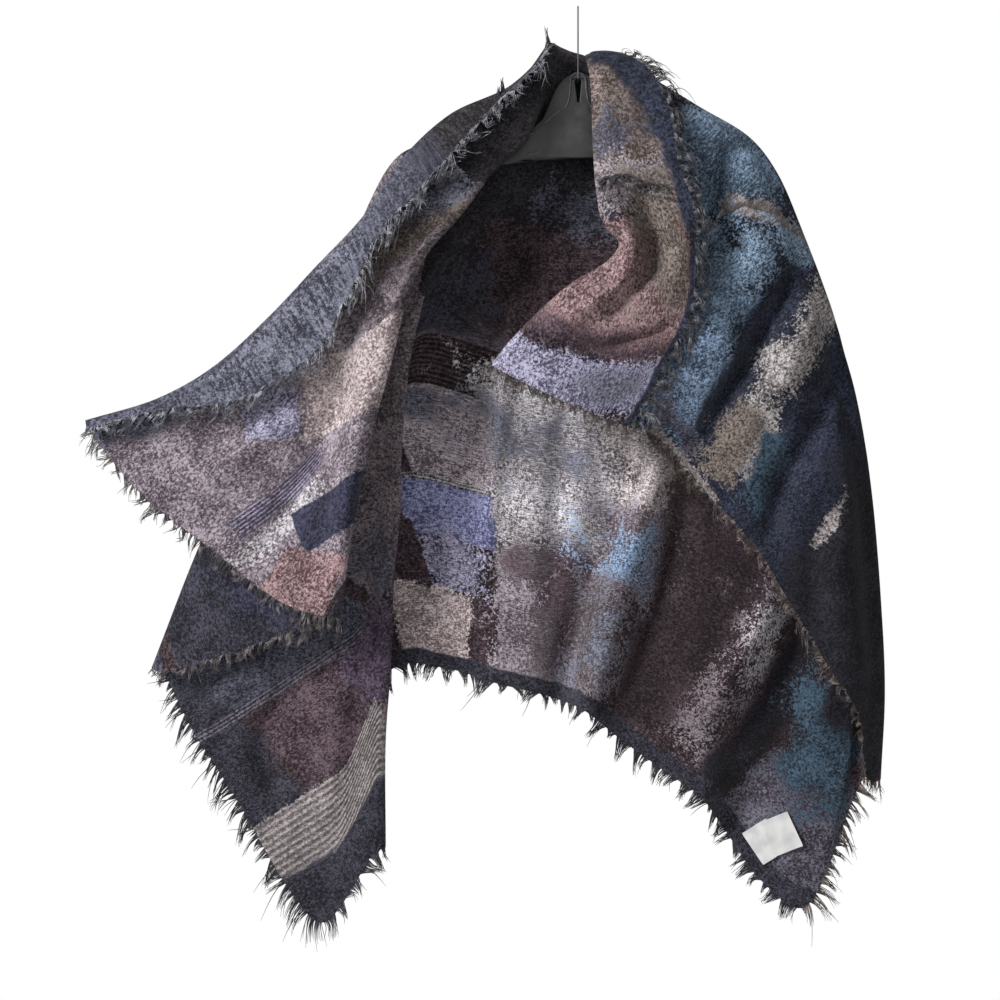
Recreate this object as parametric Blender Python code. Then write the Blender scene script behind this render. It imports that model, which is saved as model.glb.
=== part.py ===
"""Fringed patchwork shawl hung open on a plain hanger, for Blender 4.5.

One big rectangle of felted wool hangs over a hanger. It is one cloth, modelled as a fan of
runs that start round the neck and end on the cloth's edge; where it turns over on itself, the
run is a fold. Each stretch between folds is its own object. All tables are in millimetres, seen
from the front: x to the right, y away from the viewer, z up, from the middle of the wire's loop.
"""
import math
from collections import namedtuple

import bmesh
import bpy
import numpy as np
from mathutils import Matrix, Vector

MM = 0.001

# Cloth
WALL = 2.0
WALL_AT_NECK = 1.0
SEAM = 0.3
ROWS = 21
COLUMN_WIDTH = 52.0
NECK_GATHER = 0.40
NECK_GAP = 2.6
FLAT_SHARE = 0.4

# Fringe: a narrow strip just off the cloth's edge, with tapering locks
STRIP_WIDTH = 5.0
STRIP_THICK = 1.4
LOCK_PITCH = 24.0
LOCK_WIDTH = 14.0
LOCK_STEPS = [(9.0, 0.62), (20.0, 0.16)]
LOCK_SAG = 0.35
LOCK_SHARE = 0.62
LOCK_SWING = 6.0

# Hanger: a plate with a keyhole eye between two swept arms; half outline from the middle out
PLATE_THICK = 5.0
ARM_THICK = 9.0
ARM_SWEEP = 16.0
HALF_SPAN = 201.3
ARM_STATIONS = [54.0, 92.0, 120.0, 147.0, 172.0]
HANGER_TILT = math.radians(1.3)
HALF_OUTLINE = [
    (0, -73), (9, -74.5), (17, -79), (24, -87), (30, -98), (36, -112), (42, -125), (54, -136),
    (92, -145), (147, -158), (190, -169.6), (198, -173.4), (201.3, -180), (198, -186), (190, -188),
    (147, -184), (92, -177), (45, -172), (0, -170)]
EYE_TOP = -80.0
EYE_FOOT = -106.0
EYE_HALF_WIDTH = 3.4
EYE_ARC_STEPS = 8

# Wire: one closed loop through the eye, its top bend round the origin
WIRE_RADIUS = 0.8
WIRE_HALF_WIDTH = 4.2
WIRE_CORNER = [(4.2, -78.8), (3.9, -80.3), (3.0, -81.1), (0.0, -81.2)]
WIRE_ARC_STEPS = 10

# Care label: two blank leaves sewn by one end to the inner side of the back
LEAF_WIDTH = 33.0
LEAF_LENGTH = 42.0
LEAF_THICK = 0.6
LEAF_REST = 0.7
LEAF_TURN = math.radians(29)
LEAF_PLACES = [("care_label_under", (216, -959), 0.0), ("care_label", (236, -949), 1.0)]

# A fold's turn: "under" goes back behind itself, "over" comes forward over itself. Gap is how far
# apart its two layers lie once the fold has opened, between the two distances from the neck in
# opens. Side is where the layers lie when one looks along the run from the neck outwards: +1 to
# the left, -1 to the right.
Run = namedtuple("Run", "name turn gap opens side path")


def plain(name, path):
    return Run(name, None, 0, (0, 1), 0, path)


RUNS = [
    plain("long edge, left", [
        (-33, -17, -40), (-43, -31, -62), (-112, -63, -137), (-168, -76, -202), (-223, -82, -264),
        (-262, -83, -338), (-299, -79, -399), (-387, -70, -451), (-472, -60, -462), (-559, -51, -485)]),
    Run("wing top", "under", 11, (15, 260), 1, [
        (-34, -14, -41), (-43, -22, -57), (-79, -40, -94), (-146, -54, -128), (-204, -62, -184),
        (-242, -67, -243), (-296, -68, -301), (-350, -66, -358), (-413, -61, -414), (-476, -53, -449),
        (-560, -43, -474)]),
    plain("wing, upper", [
        (-35, -10, -41), (-66, -30, -86), (-98, -40, -112), (-142, -48, -160), (-195, -55, -222),
        (-240, -58, -275), (-320, -54, -380), (-496, -41, -558)]),
    plain("wing, middle", [
        (-35.5, -7, -41), (-56, -26, -90), (-78, -36, -114), (-113, -47, -164), (-166, -58, -226),
        (-208, -61, -276), (-285, -52, -430), (-422, -37, -616)]),
    plain("wing, lower", [
        (-36, -4, -41), (-47, -22, -92), (-60, -32, -116), (-90, -45, -168), (-143, -59, -232),
        (-184, -66, -284), (-243, -67, -400), (-283, -58, -508), (-336, -44, -680)]),
    Run("wing inner fold", "under", 13, (70, 330), -1, [
        (-36, -1, -40), (-41, -17, -92), (-60, -33, -151), (-92, -45, -184), (-133, -58, -240),
        (-175, -66, -290), (-197, -70, -346), (-211, -71, -402), (-234, -67, -489), (-257, -59, -600),
        (-271, -52, -698)]),
    plain("left front", [
        (-36, 1.5, -39), (-41, -10, -104), (-60, -17, -150), (-102, -24, -192), (-172, -34, -256), (-246, -42, -360),
        (-306, -36, -508), (-384, -24, -735)]),
    Run("left shoulder", "under", 16, (35, 95), 1, [
        (-35, 4, -38), (-43, -1, -104), (-92, -3, -129), (-147, -8, -151), (-204, -16, -169),
        (-264, -15, -278), (-322, -12, -378), (-380, -8, -496), (-436, -3, -620), (-490, 4, -757)]),
    plain("back left, outer", [
        (-33.5, 6.5, -37), (-43, 13, -116), (-78, 15, -160), (-204, 12, -250), (-284, 11, -390),
        (-358, 12, -590), (-450, 12, -818)]),
    plain("back left, middle", [
        (-32, 9, -36), (-42, 16, -120), (-70, 18, -166), (-192, 15, -262), (-262, 12, -420),
        (-326, 10, -680), (-388, 10, -918)]),
    plain("back left, inner", [
        (-30, 11, -36), (-40, 18.5, -123), (-64, 20, -170), (-180, 17, -268), (-242, 11, -450),
        (-286, 6, -736), (-332, 5, -1012)]),
    plain("left end corner", [
        (-28, 12.5, -36), (-38, 20, -126), (-59, 22, -173), (-169, 19, -272), (-212, 13, -380),
        (-227, 7, -490), (-256, 2, -736), (-294, 3, -1050)]),
    Run("back left fold", "under", 11, (230, 420), -1, [
        (-26, 13.5, -37), (-35, 22, -129), (-54, 24, -176), (-154, 21, -272), (-190, 17, -380),
        (-204, 10, -506), (-204, 6, -564), (-212, 4, -645), (-216, 2, -753), (-222, 0, -840),
        (-222, 0, -962)]),
    Run("hidden pleat", "under", 11, (230, 420), 1, [
        (-24, 14.5, -38), (-32, 24, -131), (-48, 27, -179), (-142, 32, -278), (-174, 34, -320), (-214, 32, -390),
        (-258, 28, -564), (-284, 26, -736), (-286, 25, -872)]),
    plain("back, by pleat", [
        (-20, 15.5, -40), (-28, 26, -133), (-40, 30, -182), (-118, 38, -280), (-186, 41, -384),
        (-214, 40, -560), (-212, 37, -758)]),
    plain("back, first valley", [
        (-15, 16.5, -42), (-21, 28, -136), (-30, 32, -184), (-80, 41, -284), (-112, 42, -506),
        (-132, 42, -652), (-150, 40, -760)]),
    plain("back, pale panel", [
        (-10, 17.5, -44), (-12, 29, -138), (-18, 33.5, -186), (-44, 38, -284), (-60, 28, -506),
        (-80, 20, -679), (-92, 17, -776)]),
    plain("back, speckled panel", [
        (-4, 18, -46), (0, 29.5, -138), (4, 33.5, -186), (8, 36, -284), (8, 26, -506),
        (-24, 22, -679), (-50, 20, -786)]),
    plain("back, second valley", [
        (0, 18, -47), (14, 29, -136), (26, 33.5, -186), (46, 36, -284), (62, 33, -472), (25, 33, -633),
        (-3, 35, -736), (-20, 35, -796)]),
    plain("first ridge", [
        (3, 17.5, -48), (24, 28, -133), (40, 32.5, -183), (66, 35, -280), (96, 20, -472), (71, 4, -610),
        (40, -2, -713), (8, -3, -806)]),
    plain("back, third valley", [
        (6, 17, -49), (33, 27, -128), (54, 32, -179), (88, 35, -280), (130, 26, -472), (117, 24, -633),
        (89, 25, -748), (54, 26, -844)]),
    plain("back, maroon panel", [
        (8, 16.5, -50), (43, 26, -122), (70, 31, -173), (112, 34, -276), (162, 26, -483),
        (172, 14, -656), (129, 9, -782), (100, 11, -876)]),
    plain("second ridge", [
        (10, 16, -50), (54, 25, -116), (86, 30, -166), (138, 33, -272), (196, 24, -506),
        (211, 9, -690), (203, 4, -750), (184, 0, -812), (141, -3, -905)]),
    plain("back, deep valley", [
        (11.5, 15.5, -50), (63, 24, -110), (102, 28, -158), (164, 31, -268), (230, 26, -506),
        (252, 14, -700), (248, 22, -770), (232, 27, -838), (170, 34, -944)]),
    plain("back, by label", [
        (13, 16, -50), (71, 22, -104), (118, 25, -150), (192, 27, -264), (266, 24, -506),
        (288, 17, -725), (268, 16, -863), (212, 13, -1003)]),
    plain("right end corner", [
        (16, 16.5, -50), (78, 20, -98), (133, 22, -142), (216, 24, -260), (290, 21, -506),
        (308, 15, -725), (300, 9, -886), (259, 4, -1033)]),
    Run("right fold", "over", 24, (60, 420), -1, [
        (22, 14.5, -49.5), (50, 13, -56), (84, 4, -77), (140, -6, -113), (196, -14, -149), (226, -16, -188),
        (258, -16, -262), (289, -17, -346), (318, -15, -449), (335, -11, -552), (346, -5, -667),
        (352, 0, -782), (348, 5, -885)]),
    plain("right front, outer", [
        (24, 9.5, -51.5), (50, 0, -65), (88, -9, -96), (180, -27, -154), (236, -42, -288), (290, -46, -483),
        (312, -37, -679), (318, -27, -806)]),
    plain("right front, bulge", [
        (22, 7.5, -53), (47, -4, -71), (80, -14, -102), (158, -32, -164), (207, -51, -299),
        (254, -58, -483), (278, -50, -633), (284, -39, -754)]),
    plain("right front, groove", [
        (20, 6.5, -54), (44, -6, -75), (73, -18, -108), (140, -31, -176), (178, -43, -311), (214, -52, -483),
        (241, -42, -684)]),
    plain("right front, pale wedge", [
        (18, 5.7, -55), (41, -8, -79), (65, -20, -114), (122, -34, -190), (156, -50, -316), (190, -55, -483),
        (202, -44, -619)]),
    plain("right front, point", [
        (16, 5, -56), (37, -10, -82), (58, -22, -120), (104, -36, -204), (132, -50, -320), (140, -52, -449),
        (145, -41, -556)]),
    plain("right front, inner", [
        (14, 4.5, -57), (34, -11, -85), (51, -22, -128), (84, -37, -216), (98, -50, -326), (99, -50, -426),
        (88, -42, -492)]),
    plain("right front, under lapel", [
        (12.5, 4.5, -57.5), (31, -12, -88), (42, -23, -140), (54, -38, -220), (52, -46, -300), (26, -49, -384),
        (-9, -42, -450)]),
    Run("lapel fold", "over", 12, (60, 240), 1, [
        (9, 2, -54), (8, -7, -54), (12, -17, -72), (15, -24, -103), (16, -32, -147), (20, -45, -212),
        (27, -56, -251), (45, -56, -275), (31, -60, -295), (-9, -64, -320), (-47, -66, -353),
        (-79, -64, -386), (-99, -60, -411)]),
    plain("lapel, inner", [
        (16, 6, -47.5), (21, -6, -50), (27, -20, -74), (38, -46, -161), (50, -62, -240),
        (70, -68, -296), (30, -76, -362), (-53, -70, -436)]),
    plain("lapel, middle", [
        (32, 7, -46), (38, -4, -49), (50, -20, -72), (72, -50, -161), (90, -66, -242),
        (100, -74, -322), (62, -80, -403), (3, -73, -462)]),
    plain("long edge, right", [
        (50, 7, -48), (66, 0, -56), (84, -14, -74), (104, -38, -119), (113, -58, -179),
        (126, -69, -230), (131, -74, -294), (121, -77, -362), (95, -77, -409), (76, -74, -449),
        (56, -68, -482)]),
]

# Stretches of cloth between two runs, in order, with the colour that each mostly shows
Stretch = namedtuple("Stretch", "name first last colour")

STRETCHES = [
    Stretch("left_margin", "long edge, left", "wing top", (0.075, 0.085, 0.115)),
    Stretch("left_wing", "wing top", "wing inner fold", (0.26, 0.21, 0.22)),
    Stretch("left_front", "wing inner fold", "left shoulder", (0.018, 0.020, 0.034)),
    Stretch("back_left", "left shoulder", "back left fold", (0.11, 0.09, 0.13)),
    Stretch("back_pleat", "back left fold", "hidden pleat", (0.06, 0.055, 0.075)),
    Stretch("back_middle", "hidden pleat", "back, second valley", (0.22, 0.19, 0.20)),
    Stretch("back_right", "back, second valley", "right fold", (0.10, 0.075, 0.10)),
    Stretch("right_front", "right fold", "lapel fold", (0.05, 0.09, 0.14)),
    Stretch("right_lapel", "lapel fold", "long edge, right", (0.25, 0.17, 0.17)),
]

# Fringed stretches of edge, between two runs or along one. Margins is how much stays bare at the
# two ends.
Fringed = namedtuple("Fringed", "name first last margins colour")
NAVY = (0.02, 0.022, 0.035)
BROWN = (0.10, 0.07, 0.055)
MAUVE_BROWN = (0.09, 0.075, 0.08)

FRINGED = [
    Fringed("fringe_left_margin", "long edge, left", "long edge, left", (30, 60), NAVY),
    Fringed("fringe_left_wing", "wing top", "wing inner fold", (12, 12), MAUVE_BROWN),
    Fringed("fringe_left_front", "wing inner fold", "left shoulder", (12, 12), MAUVE_BROWN),
    Fringed("fringe_left_end", "left shoulder", "left end corner", (12, 8), NAVY),
    Fringed("fringe_left_hem", "left end corner", "back left fold", (8, 12), NAVY),
    Fringed("fringe_middle_hem", "hidden pleat", "back, second valley", (12, 0), NAVY),
    Fringed("fringe_right_hem", "back, second valley", "right end corner", (0, 8), NAVY),
    Fringed("fringe_right_end", "right end corner", "right fold", (8, 12), BROWN),
    Fringed("fringe_right_front", "right fold", "lapel fold", (16, 12), BROWN),
    Fringed("fringe_lapel_end", "lapel fold", "long edge, right", (12, 8), BROWN),
    Fringed("fringe_lapel_edge", "long edge, right", "long edge, right", (30, 10), NAVY),
]


def smooth_step(value):
    value = np.clip(value, 0.0, 1.0)
    return value * value * (3.0 - 2.0 * value)


def curve_between(before, start, end, after, share):
    """Centripetal Catmull-Rom point a share of the way from start to end, for arrays of points."""
    def knot(first, second):
        return np.maximum(np.linalg.norm(second - first, axis=-1, keepdims=True), 1e-6) ** 0.5
    t1 = knot(before, start)
    t2 = t1 + knot(start, end)
    t3 = t2 + knot(end, after)
    t = t1 + (t2 - t1) * share
    a1 = before * (t1 - t) / t1 + start * t / t1
    a2 = start * (t2 - t) / (t2 - t1) + end * (t - t1) / (t2 - t1)
    a3 = end * (t3 - t) / (t3 - t2) + after * (t - t2) / (t3 - t2)
    b1 = a1 * (t2 - t) / t2 + a2 * t / t2
    b2 = a2 * (t3 - t) / (t3 - t1) + a3 * (t - t1) / (t3 - t1)
    return b1 * (t2 - t) / (t2 - t1) + b2 * (t - t1) / (t2 - t1)


def smooth_path(path, count):
    """Count points spaced evenly along a smooth curve through the path's points."""
    points = np.array(path, dtype=float)
    points = np.vstack([2 * points[0] - points[1], points, 2 * points[-1] - points[-2]])
    dense = [points[1]]
    for i in range(1, len(points) - 2):
        for step in range(1, 17):
            dense.append(curve_between(*points[i - 1:i + 3], step / 16))
    dense = np.array(dense)
    reach = np.concatenate([[0.0], np.cumsum(np.linalg.norm(np.diff(dense, axis=0), axis=1))])
    wanted = np.linspace(0.0, reach[-1], count)
    return np.stack([np.interp(wanted, reach, dense[:, axis]) for axis in range(3)], axis=1)


def fold_columns(run, before, after, count):
    """The two layers beside a fold and the turn between them, in the order the cloth meets them.

    Towards the neck the fold flattens out, and its columns lie between the runs beside it."""
    turn = smooth_path(run.path, count)
    along = np.gradient(turn, axis=0)
    inward = np.stack([-along[:, 2], np.zeros(count), along[:, 0]], axis=1) * run.side
    inward /= np.linalg.norm(inward, axis=1, keepdims=True)
    from_neck = np.concatenate([[0.0], np.cumsum(np.linalg.norm(np.diff(turn, axis=0), axis=1))])
    opened = smooth_step((from_neck - run.opens[0]) / (run.opens[1] - run.opens[0]))[:, None]
    half_gap = NECK_GAP / 2 + (run.gap - NECK_GAP) / 2 * opened
    flat_before = turn + (smooth_path(before.path, count) - turn) * FLAT_SHARE
    flat_after = turn + (smooth_path(after.path, count) - turn) * FLAT_SHARE
    back = np.array([[0.0, 1.0, 0.0]])
    front_layer = turn + inward * half_gap * 1.3 - back * half_gap
    back_layer = turn + inward * half_gap * 1.3 + back * half_gap
    first, last = (front_layer, back_layer) if run.turn == "under" else (back_layer, front_layer)
    return [flat_before + (first - flat_before) * opened, turn, flat_after + (last - flat_after) * opened]


def build_cage():
    """All columns of the cloth, and the column where each run lies (or its hidden layer starts)."""
    columns = []
    place = {}
    for i, run in enumerate(RUNS):
        if run.turn is None:
            place[run.name] = len(columns)
            columns.append(smooth_path(run.path, ROWS))
            continue
        layers = fold_columns(run, RUNS[i - 1], RUNS[i + 1], ROWS)
        place[run.name] = len(columns) + (2 if run.turn == "under" else 0)
        columns.extend(layers)
    return np.array(columns), place


def fill_between(cage):
    """Cloth columns close enough to look smooth, and where each cage column went."""
    last = len(cage) - 1
    columns = [cage[0]]
    place = [0]
    for i in range(last):
        before = cage[i - 1] if i > 0 else 2 * cage[0] - cage[1]
        after = cage[i + 2] if i + 2 <= last else 2 * cage[last] - cage[last - 1]
        width = np.linalg.norm(cage[i + 1] - cage[i], axis=1).max()
        steps = max(1 if width < 12 else 2, math.ceil(width / COLUMN_WIDTH))
        for step in range(1, steps + 1):
            columns.append(curve_between(before, cage[i], cage[i + 1], after, step / steps))
        place.append(len(columns) - 1)
    return np.array(columns), place


def unit(vectors):
    return vectors / np.maximum(np.linalg.norm(vectors, axis=-1, keepdims=True), 1e-9)


def directions(sheet, axis):
    """Direction of the sheet's lines at each point, halfway between the steps on its two sides."""
    steps = unit(np.diff(sheet, axis=axis))
    ends = np.take(steps, [0], axis=axis), np.take(steps, [-1], axis=axis)
    before = np.concatenate([ends[0], steps], axis=axis)
    after = np.concatenate([steps, ends[1]], axis=axis)
    return unit(before + after)


def cloth_normals(sheet):
    """Unit normals of the sheet, all on the same side of it."""
    return unit(np.cross(directions(sheet, 0), directions(sheet, 1)))


def wall_thickness():
    grown = smooth_step(np.linspace(0.0, 1.0, ROWS) / NECK_GATHER)
    return WALL_AT_NECK + (WALL - WALL_AT_NECK) * grown


def material(name, colour, roughness, metallic=0.0):
    made = bpy.data.materials.new(name)
    made.use_nodes = True
    shader = made.node_tree.nodes["Principled BSDF"]
    shader.inputs["Base Color"].default_value = (*colour, 1.0)
    shader.inputs["Roughness"].default_value = roughness
    shader.inputs["Metallic"].default_value = metallic
    made.diffuse_color = (*colour, 1.0)
    return made


def add_object(name, bm, finish, collection, smooth=True):
    bmesh.ops.recalc_face_normals(bm, faces=bm.faces)
    for face in bm.faces:
        face.smooth = smooth
    mesh = bpy.data.meshes.new(name)
    bm.to_mesh(mesh)
    bm.free()
    mesh.materials.append(finish)
    made = bpy.data.objects.new(name, mesh)
    collection.objects.link(made)
    return made


def loft_wall(outer, inner):
    """Closed wall between two equal grids of points: one ring for each column, bridged in turn.

    Both sides are split along the same diagonals, so that a twisted wall keeps its thickness."""
    bm = bmesh.new()
    rings = []
    for near, far in zip(outer, inner):
        ring_points = list(near) + list(far[::-1])
        rings.append([bm.verts.new(Vector(point) * MM) for point in ring_points])
    size = len(rings[0])
    half = size // 2
    for first, second in zip(rings, rings[1:]):
        for i in range(size):
            k = (i + 1) % size
            corners = [first[i], first[k], second[k], second[i]]
            if half <= i < size - 1:
                corners = corners[1:] + corners[:1]
            bm.faces.new(corners[:3])
            bm.faces.new((corners[0], corners[2], corners[3]))
    for ring in (rings[0], rings[-1]):
        for i in range(half - 1):
            bm.faces.new((ring[i], ring[i + 1], ring[size - 2 - i], ring[size - 1 - i]))
    return bm


def make_stretch(stretch, sheet, normals, place, collection):
    first = place[stretch.first]
    last = place[stretch.last]
    middle = sheet[first:last + 1].copy()
    facing = normals[first:last + 1]
    for edge, neighbour, seam in ((0, 1, first > 0), (-1, -2, last < len(sheet) - 1)):
        if seam:
            step = middle[neighbour] - middle[edge]
            step /= np.linalg.norm(step, axis=1, keepdims=True)
            middle[edge] += step * SEAM / 2
    half = (wall_thickness() / 2)[None, :, None]
    bm = loft_wall(middle - facing * half, middle + facing * half)
    finish = material(stretch.name, stretch.colour, 0.95)
    return add_object(stretch.name, bm, finish, collection)


def edge_frames(points, normals, inside):
    """The way out of the cloth along an edge, square to the edge and to the cloth's normal."""
    along = directions(points[None], 1)[0]
    out = unit(np.cross(along, normals))
    side = np.sign((out * unit(points - inside)).sum(axis=1, keepdims=True))
    return out * side


def read_along(values, reach, places):
    return np.stack([np.interp(places, reach, values[:, axis]) for axis in range(3)], axis=1)


def lock_places(reach, margins):
    """Where each lock starts and stops along an edge, none of them across a bend of the cloth's."""
    locks = []
    for start, stop in zip(reach, reach[1:]):
        start = max(start, reach[0] + margins[0])
        stop = min(stop, reach[-1] - margins[1])
        count = round((stop - start) / LOCK_PITCH)
        pitch = (stop - start) / max(count, 1)
        width = min(LOCK_WIDTH, pitch * LOCK_SHARE)
        for i in range(count):
            middle = start + pitch * (i + 0.5)
            locks.append((middle - width / 2, middle + width / 2))
    return locks


def make_fringe(edge, points, normals, inside, collection):
    """A strip beside one stretch of edge, and a row of tapering locks that hang from it."""
    name = edge.name
    out = edge_frames(points, normals, inside)
    reach = np.concatenate([[0.0], np.cumsum(np.linalg.norm(np.diff(points, axis=0), axis=1))])
    locks = lock_places(reach, edge.margins)
    ends = [place for lock in locks for place in lock]
    bends = [place for place in reach if ends[0] < place < ends[-1]]
    places = np.array(sorted(set(ends) | set(bends)))
    starts = {lock[0] for lock in locks}
    root = read_along(points, reach, places)
    way_out = unit(read_along(out, reach, places))
    facing = unit(read_along(normals, reach, places)) * STRIP_THICK / 2
    near = root + way_out * SEAM
    far = root + way_out * (SEAM + STRIP_WIDTH)
    bm = bmesh.new()
    rings = []
    for a, b, f in zip(near, far, facing):
        rings.append([bm.verts.new(Vector(point) * MM) for point in (a - f, b - f, b + f, a + f)])
    rims = []
    for i, (first, second) in enumerate(zip(rings, rings[1:])):
        for k in range(4):
            face = bm.faces.new((first[k], first[(k + 1) % 4], second[(k + 1) % 4], second[k]))
            if k == 1 and places[i] in starts:
                rims.append((i, face))
    bm.faces.new(rings[0])
    bm.faces.new(rings[-1])
    bmesh.ops.recalc_face_normals(bm, faces=bm.faces)
    for count, (i, face) in enumerate(rims):
        fall = unit(way_out[i] + way_out[i + 1] + np.array([0.0, 0.0, -LOCK_SAG]))
        swing = unit(root[i + 1] - root[i]) * LOCK_SWING * math.sin(2.4 * count + len(name))
        centre = face.calc_center_median()
        last_share = 1.0
        for far_out, share in LOCK_STEPS:
            grown = bmesh.ops.extrude_discrete_faces(bm, faces=[face])["faces"][0]
            tip = centre + Vector(fall * far_out + swing * (far_out / LOCK_STEPS[-1][0]) ** 2) * MM
            old = grown.calc_center_median()
            for vert in grown.verts:
                vert.co = tip + (vert.co - old) * (share / last_share)
            last_share = share
            face = grown
    return add_object(name, bm, material(name, edge.colour, 0.97), collection)


def hanger_point(x, z, depth):
    """A point of the hanger's outline, swept forward and thickened towards the arm's tip."""
    share = abs(x) / HALF_SPAN
    grown = smooth_step(np.array((abs(x) - 30.0) / 30.0))
    half = (PLATE_THICK + (ARM_THICK - PLATE_THICK) * float(grown)) / 2
    y = -ARM_SWEEP * share ** 2 + half * depth
    return Vector((x, y, z)) * MM


def make_hanger(collection):
    outline = HALF_OUTLINE + [(-x, z) for x, z in HALF_OUTLINE[-2:0:-1]]
    eye = [(EYE_HALF_WIDTH * math.cos(angle), EYE_TOP - EYE_HALF_WIDTH + EYE_HALF_WIDTH * math.sin(angle))
           for angle in (math.pi * i / EYE_ARC_STEPS for i in range(EYE_ARC_STEPS + 1))]
    eye += [(-EYE_HALF_WIDTH * 0.35, EYE_FOOT), (EYE_HALF_WIDTH * 0.35, EYE_FOOT)]
    curve = bpy.data.curves.new("hanger_outline", "CURVE")
    curve.dimensions = "2D"
    curve.fill_mode = "BOTH"
    curve.extrude = 1.0
    for points in (outline, eye):
        spline = curve.splines.new("POLY")
        spline.points.add(len(points) - 1)
        for point, (x, z) in zip(spline.points, points):
            point.co = (x, z, 0.0, 1.0)
        spline.use_cyclic_u = True
    drawn = bpy.data.objects.new("hanger_outline", curve)
    collection.objects.link(drawn)
    bpy.context.view_layer.update()
    flat = bpy.data.meshes.new_from_object(drawn.evaluated_get(bpy.context.evaluated_depsgraph_get()))
    bm = bmesh.new()
    bm.from_mesh(flat)
    bmesh.ops.remove_doubles(bm, verts=bm.verts, dist=1e-4)
    for x in ARM_STATIONS:
        for side in (-1.0, 1.0):
            parts = bm.verts[:] + bm.edges[:] + bm.faces[:]
            bmesh.ops.bisect_plane(bm, geom=parts, dist=1e-4, plane_co=(x * side, 0, 0), plane_no=(1, 0, 0))
    for vert in bm.verts:
        vert.co = hanger_point(vert.co.x, vert.co.y, -vert.co.z)
    bmesh.ops.rotate(bm, verts=bm.verts, cent=Vector((0, 0, EYE_TOP * MM)),
                     matrix=Matrix.Rotation(-HANGER_TILT, 3, "Y"))
    bpy.data.objects.remove(drawn, do_unlink=True)
    bpy.data.meshes.remove(flat)
    finish = material("hanger", (0.035, 0.037, 0.036), 0.38)
    return add_object("hanger", bm, finish, collection, smooth=False)


def make_wire(collection):
    top = [(WIRE_HALF_WIDTH * math.cos(angle), WIRE_HALF_WIDTH * math.sin(angle))
           for angle in (math.pi * i / WIRE_ARC_STEPS for i in range(WIRE_ARC_STEPS + 1))]
    foot = [(-y, z) for y, z in WIRE_CORNER] + [(y, z) for y, z in WIRE_CORNER[-2::-1]]
    curve = bpy.data.curves.new("hanging_wire", "CURVE")
    curve.dimensions = "3D"
    curve.bevel_depth = WIRE_RADIUS * MM
    curve.bevel_resolution = 2
    spline = curve.splines.new("POLY")
    spline.points.add(len(top) + len(foot) - 1)
    for point, (y, z) in zip(spline.points, top + foot):
        point.co = (0.0, y * MM, z * MM, 1.0)
    spline.use_cyclic_u = True
    spline.use_smooth = True
    curve.materials.append(material("hanging_wire", (0.45, 0.46, 0.48), 0.3, 1.0))
    wire = bpy.data.objects.new("hanging_wire", curve)
    collection.objects.link(wire)
    return wire


def on_panel(panel, normals, x, z):
    """The point of a panel seen from the front at x and z, and the panel's normal there."""
    best = None
    for i in range(panel.shape[0] - 1):
        for k in range(panel.shape[1] - 1):
            corner = panel[i, k]
            sides = np.array([panel[i + 1, k] - corner, panel[i, k + 1] - corner])[:, [0, 2]]
            share = np.linalg.solve(sides.T, np.array([x, z]) - corner[[0, 2]])
            miss = max(-share.min(), share.max() - 1.0, 0.0)
            if best is None or miss < best[0]:
                point = corner + share[0] * (panel[i + 1, k] - corner) + share[1] * (panel[i, k + 1] - corner)
                best = (miss, point, normals[i, k])
    return best[1], best[2]


def make_leaf(name, centre, lift, panel, normals, collection):
    """One leaf of the label, laid over the panel's own points and moved out from them."""
    across = np.array([math.cos(LEAF_TURN), math.sin(LEAF_TURN)]) * -1
    down = np.array([across[1], -across[0]])
    outer = []
    inner = []
    for a in np.linspace(-0.5, 0.5, 7):
        near, far = [], []
        for b in np.linspace(-0.5, 0.5, 5):
            x, z = np.array(centre) + across * a * LEAF_WIDTH + down * b * LEAF_LENGTH
            point, facing = on_panel(panel, normals, x, z)
            facing = facing * -np.sign(facing[1])
            raised = WALL / 2 + SEAM + LEAF_REST + lift * (1.2 + a)
            near.append(point + facing * (raised + LEAF_THICK))
            far.append(point + facing * raised)
        outer.append(near)
        inner.append(far)
    bm = loft_wall(np.array(outer), np.array(inner))
    return add_object(name, bm, material(name, (0.78, 0.78, 0.76), 0.6), collection, smooth=False)


def main():
    for old in list(bpy.data.objects):
        bpy.data.objects.remove(old, do_unlink=True)
    collection = bpy.data.collections.new("shawl_on_hanger")
    bpy.context.scene.collection.children.link(collection)
    cage, cage_place = build_cage()
    sheet, fine_place = fill_between(cage)
    place = {name: fine_place[column] for name, column in cage_place.items()}
    normals = cloth_normals(sheet)
    for stretch in STRETCHES:
        make_stretch(stretch, sheet, normals, place, collection)
    make_hanger(collection)
    make_wire(collection)
    first, last = place["back, second valley"], place["right fold"]
    for name, centre, lift in LEAF_PLACES:
        make_leaf(name, centre, lift, sheet[first:last, ROWS // 2:], normals[first:last, ROWS // 2:], collection)
    for edge in FRINGED:
        first, last = place[edge.first], place[edge.last]
        if first == last:
            inside = 1 if first == 0 else first - 1
            make_fringe(edge, sheet[first], normals[first], sheet[inside], collection)
        else:
            columns = slice(first, last + 1)
            make_fringe(edge, sheet[columns, -1], normals[columns, -1], sheet[columns, -2], collection)


main()
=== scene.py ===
"""Looks of a big fringed patchwork shawl of felted wool that hangs open on a plain hanger.

The cloth follows the frame's solids: the same fan of runs from the neck to the cloth's edge, read
much finer, with the soft creases that show added in real sizes. Tables are in millimetres, seen
from the front: x to the right, y away from the viewer, z up, from the middle of the wire's loop.
"""
import math
import random
from collections import namedtuple

import bmesh
import bpy
import numpy as np
from mathutils import Matrix, Vector


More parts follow.
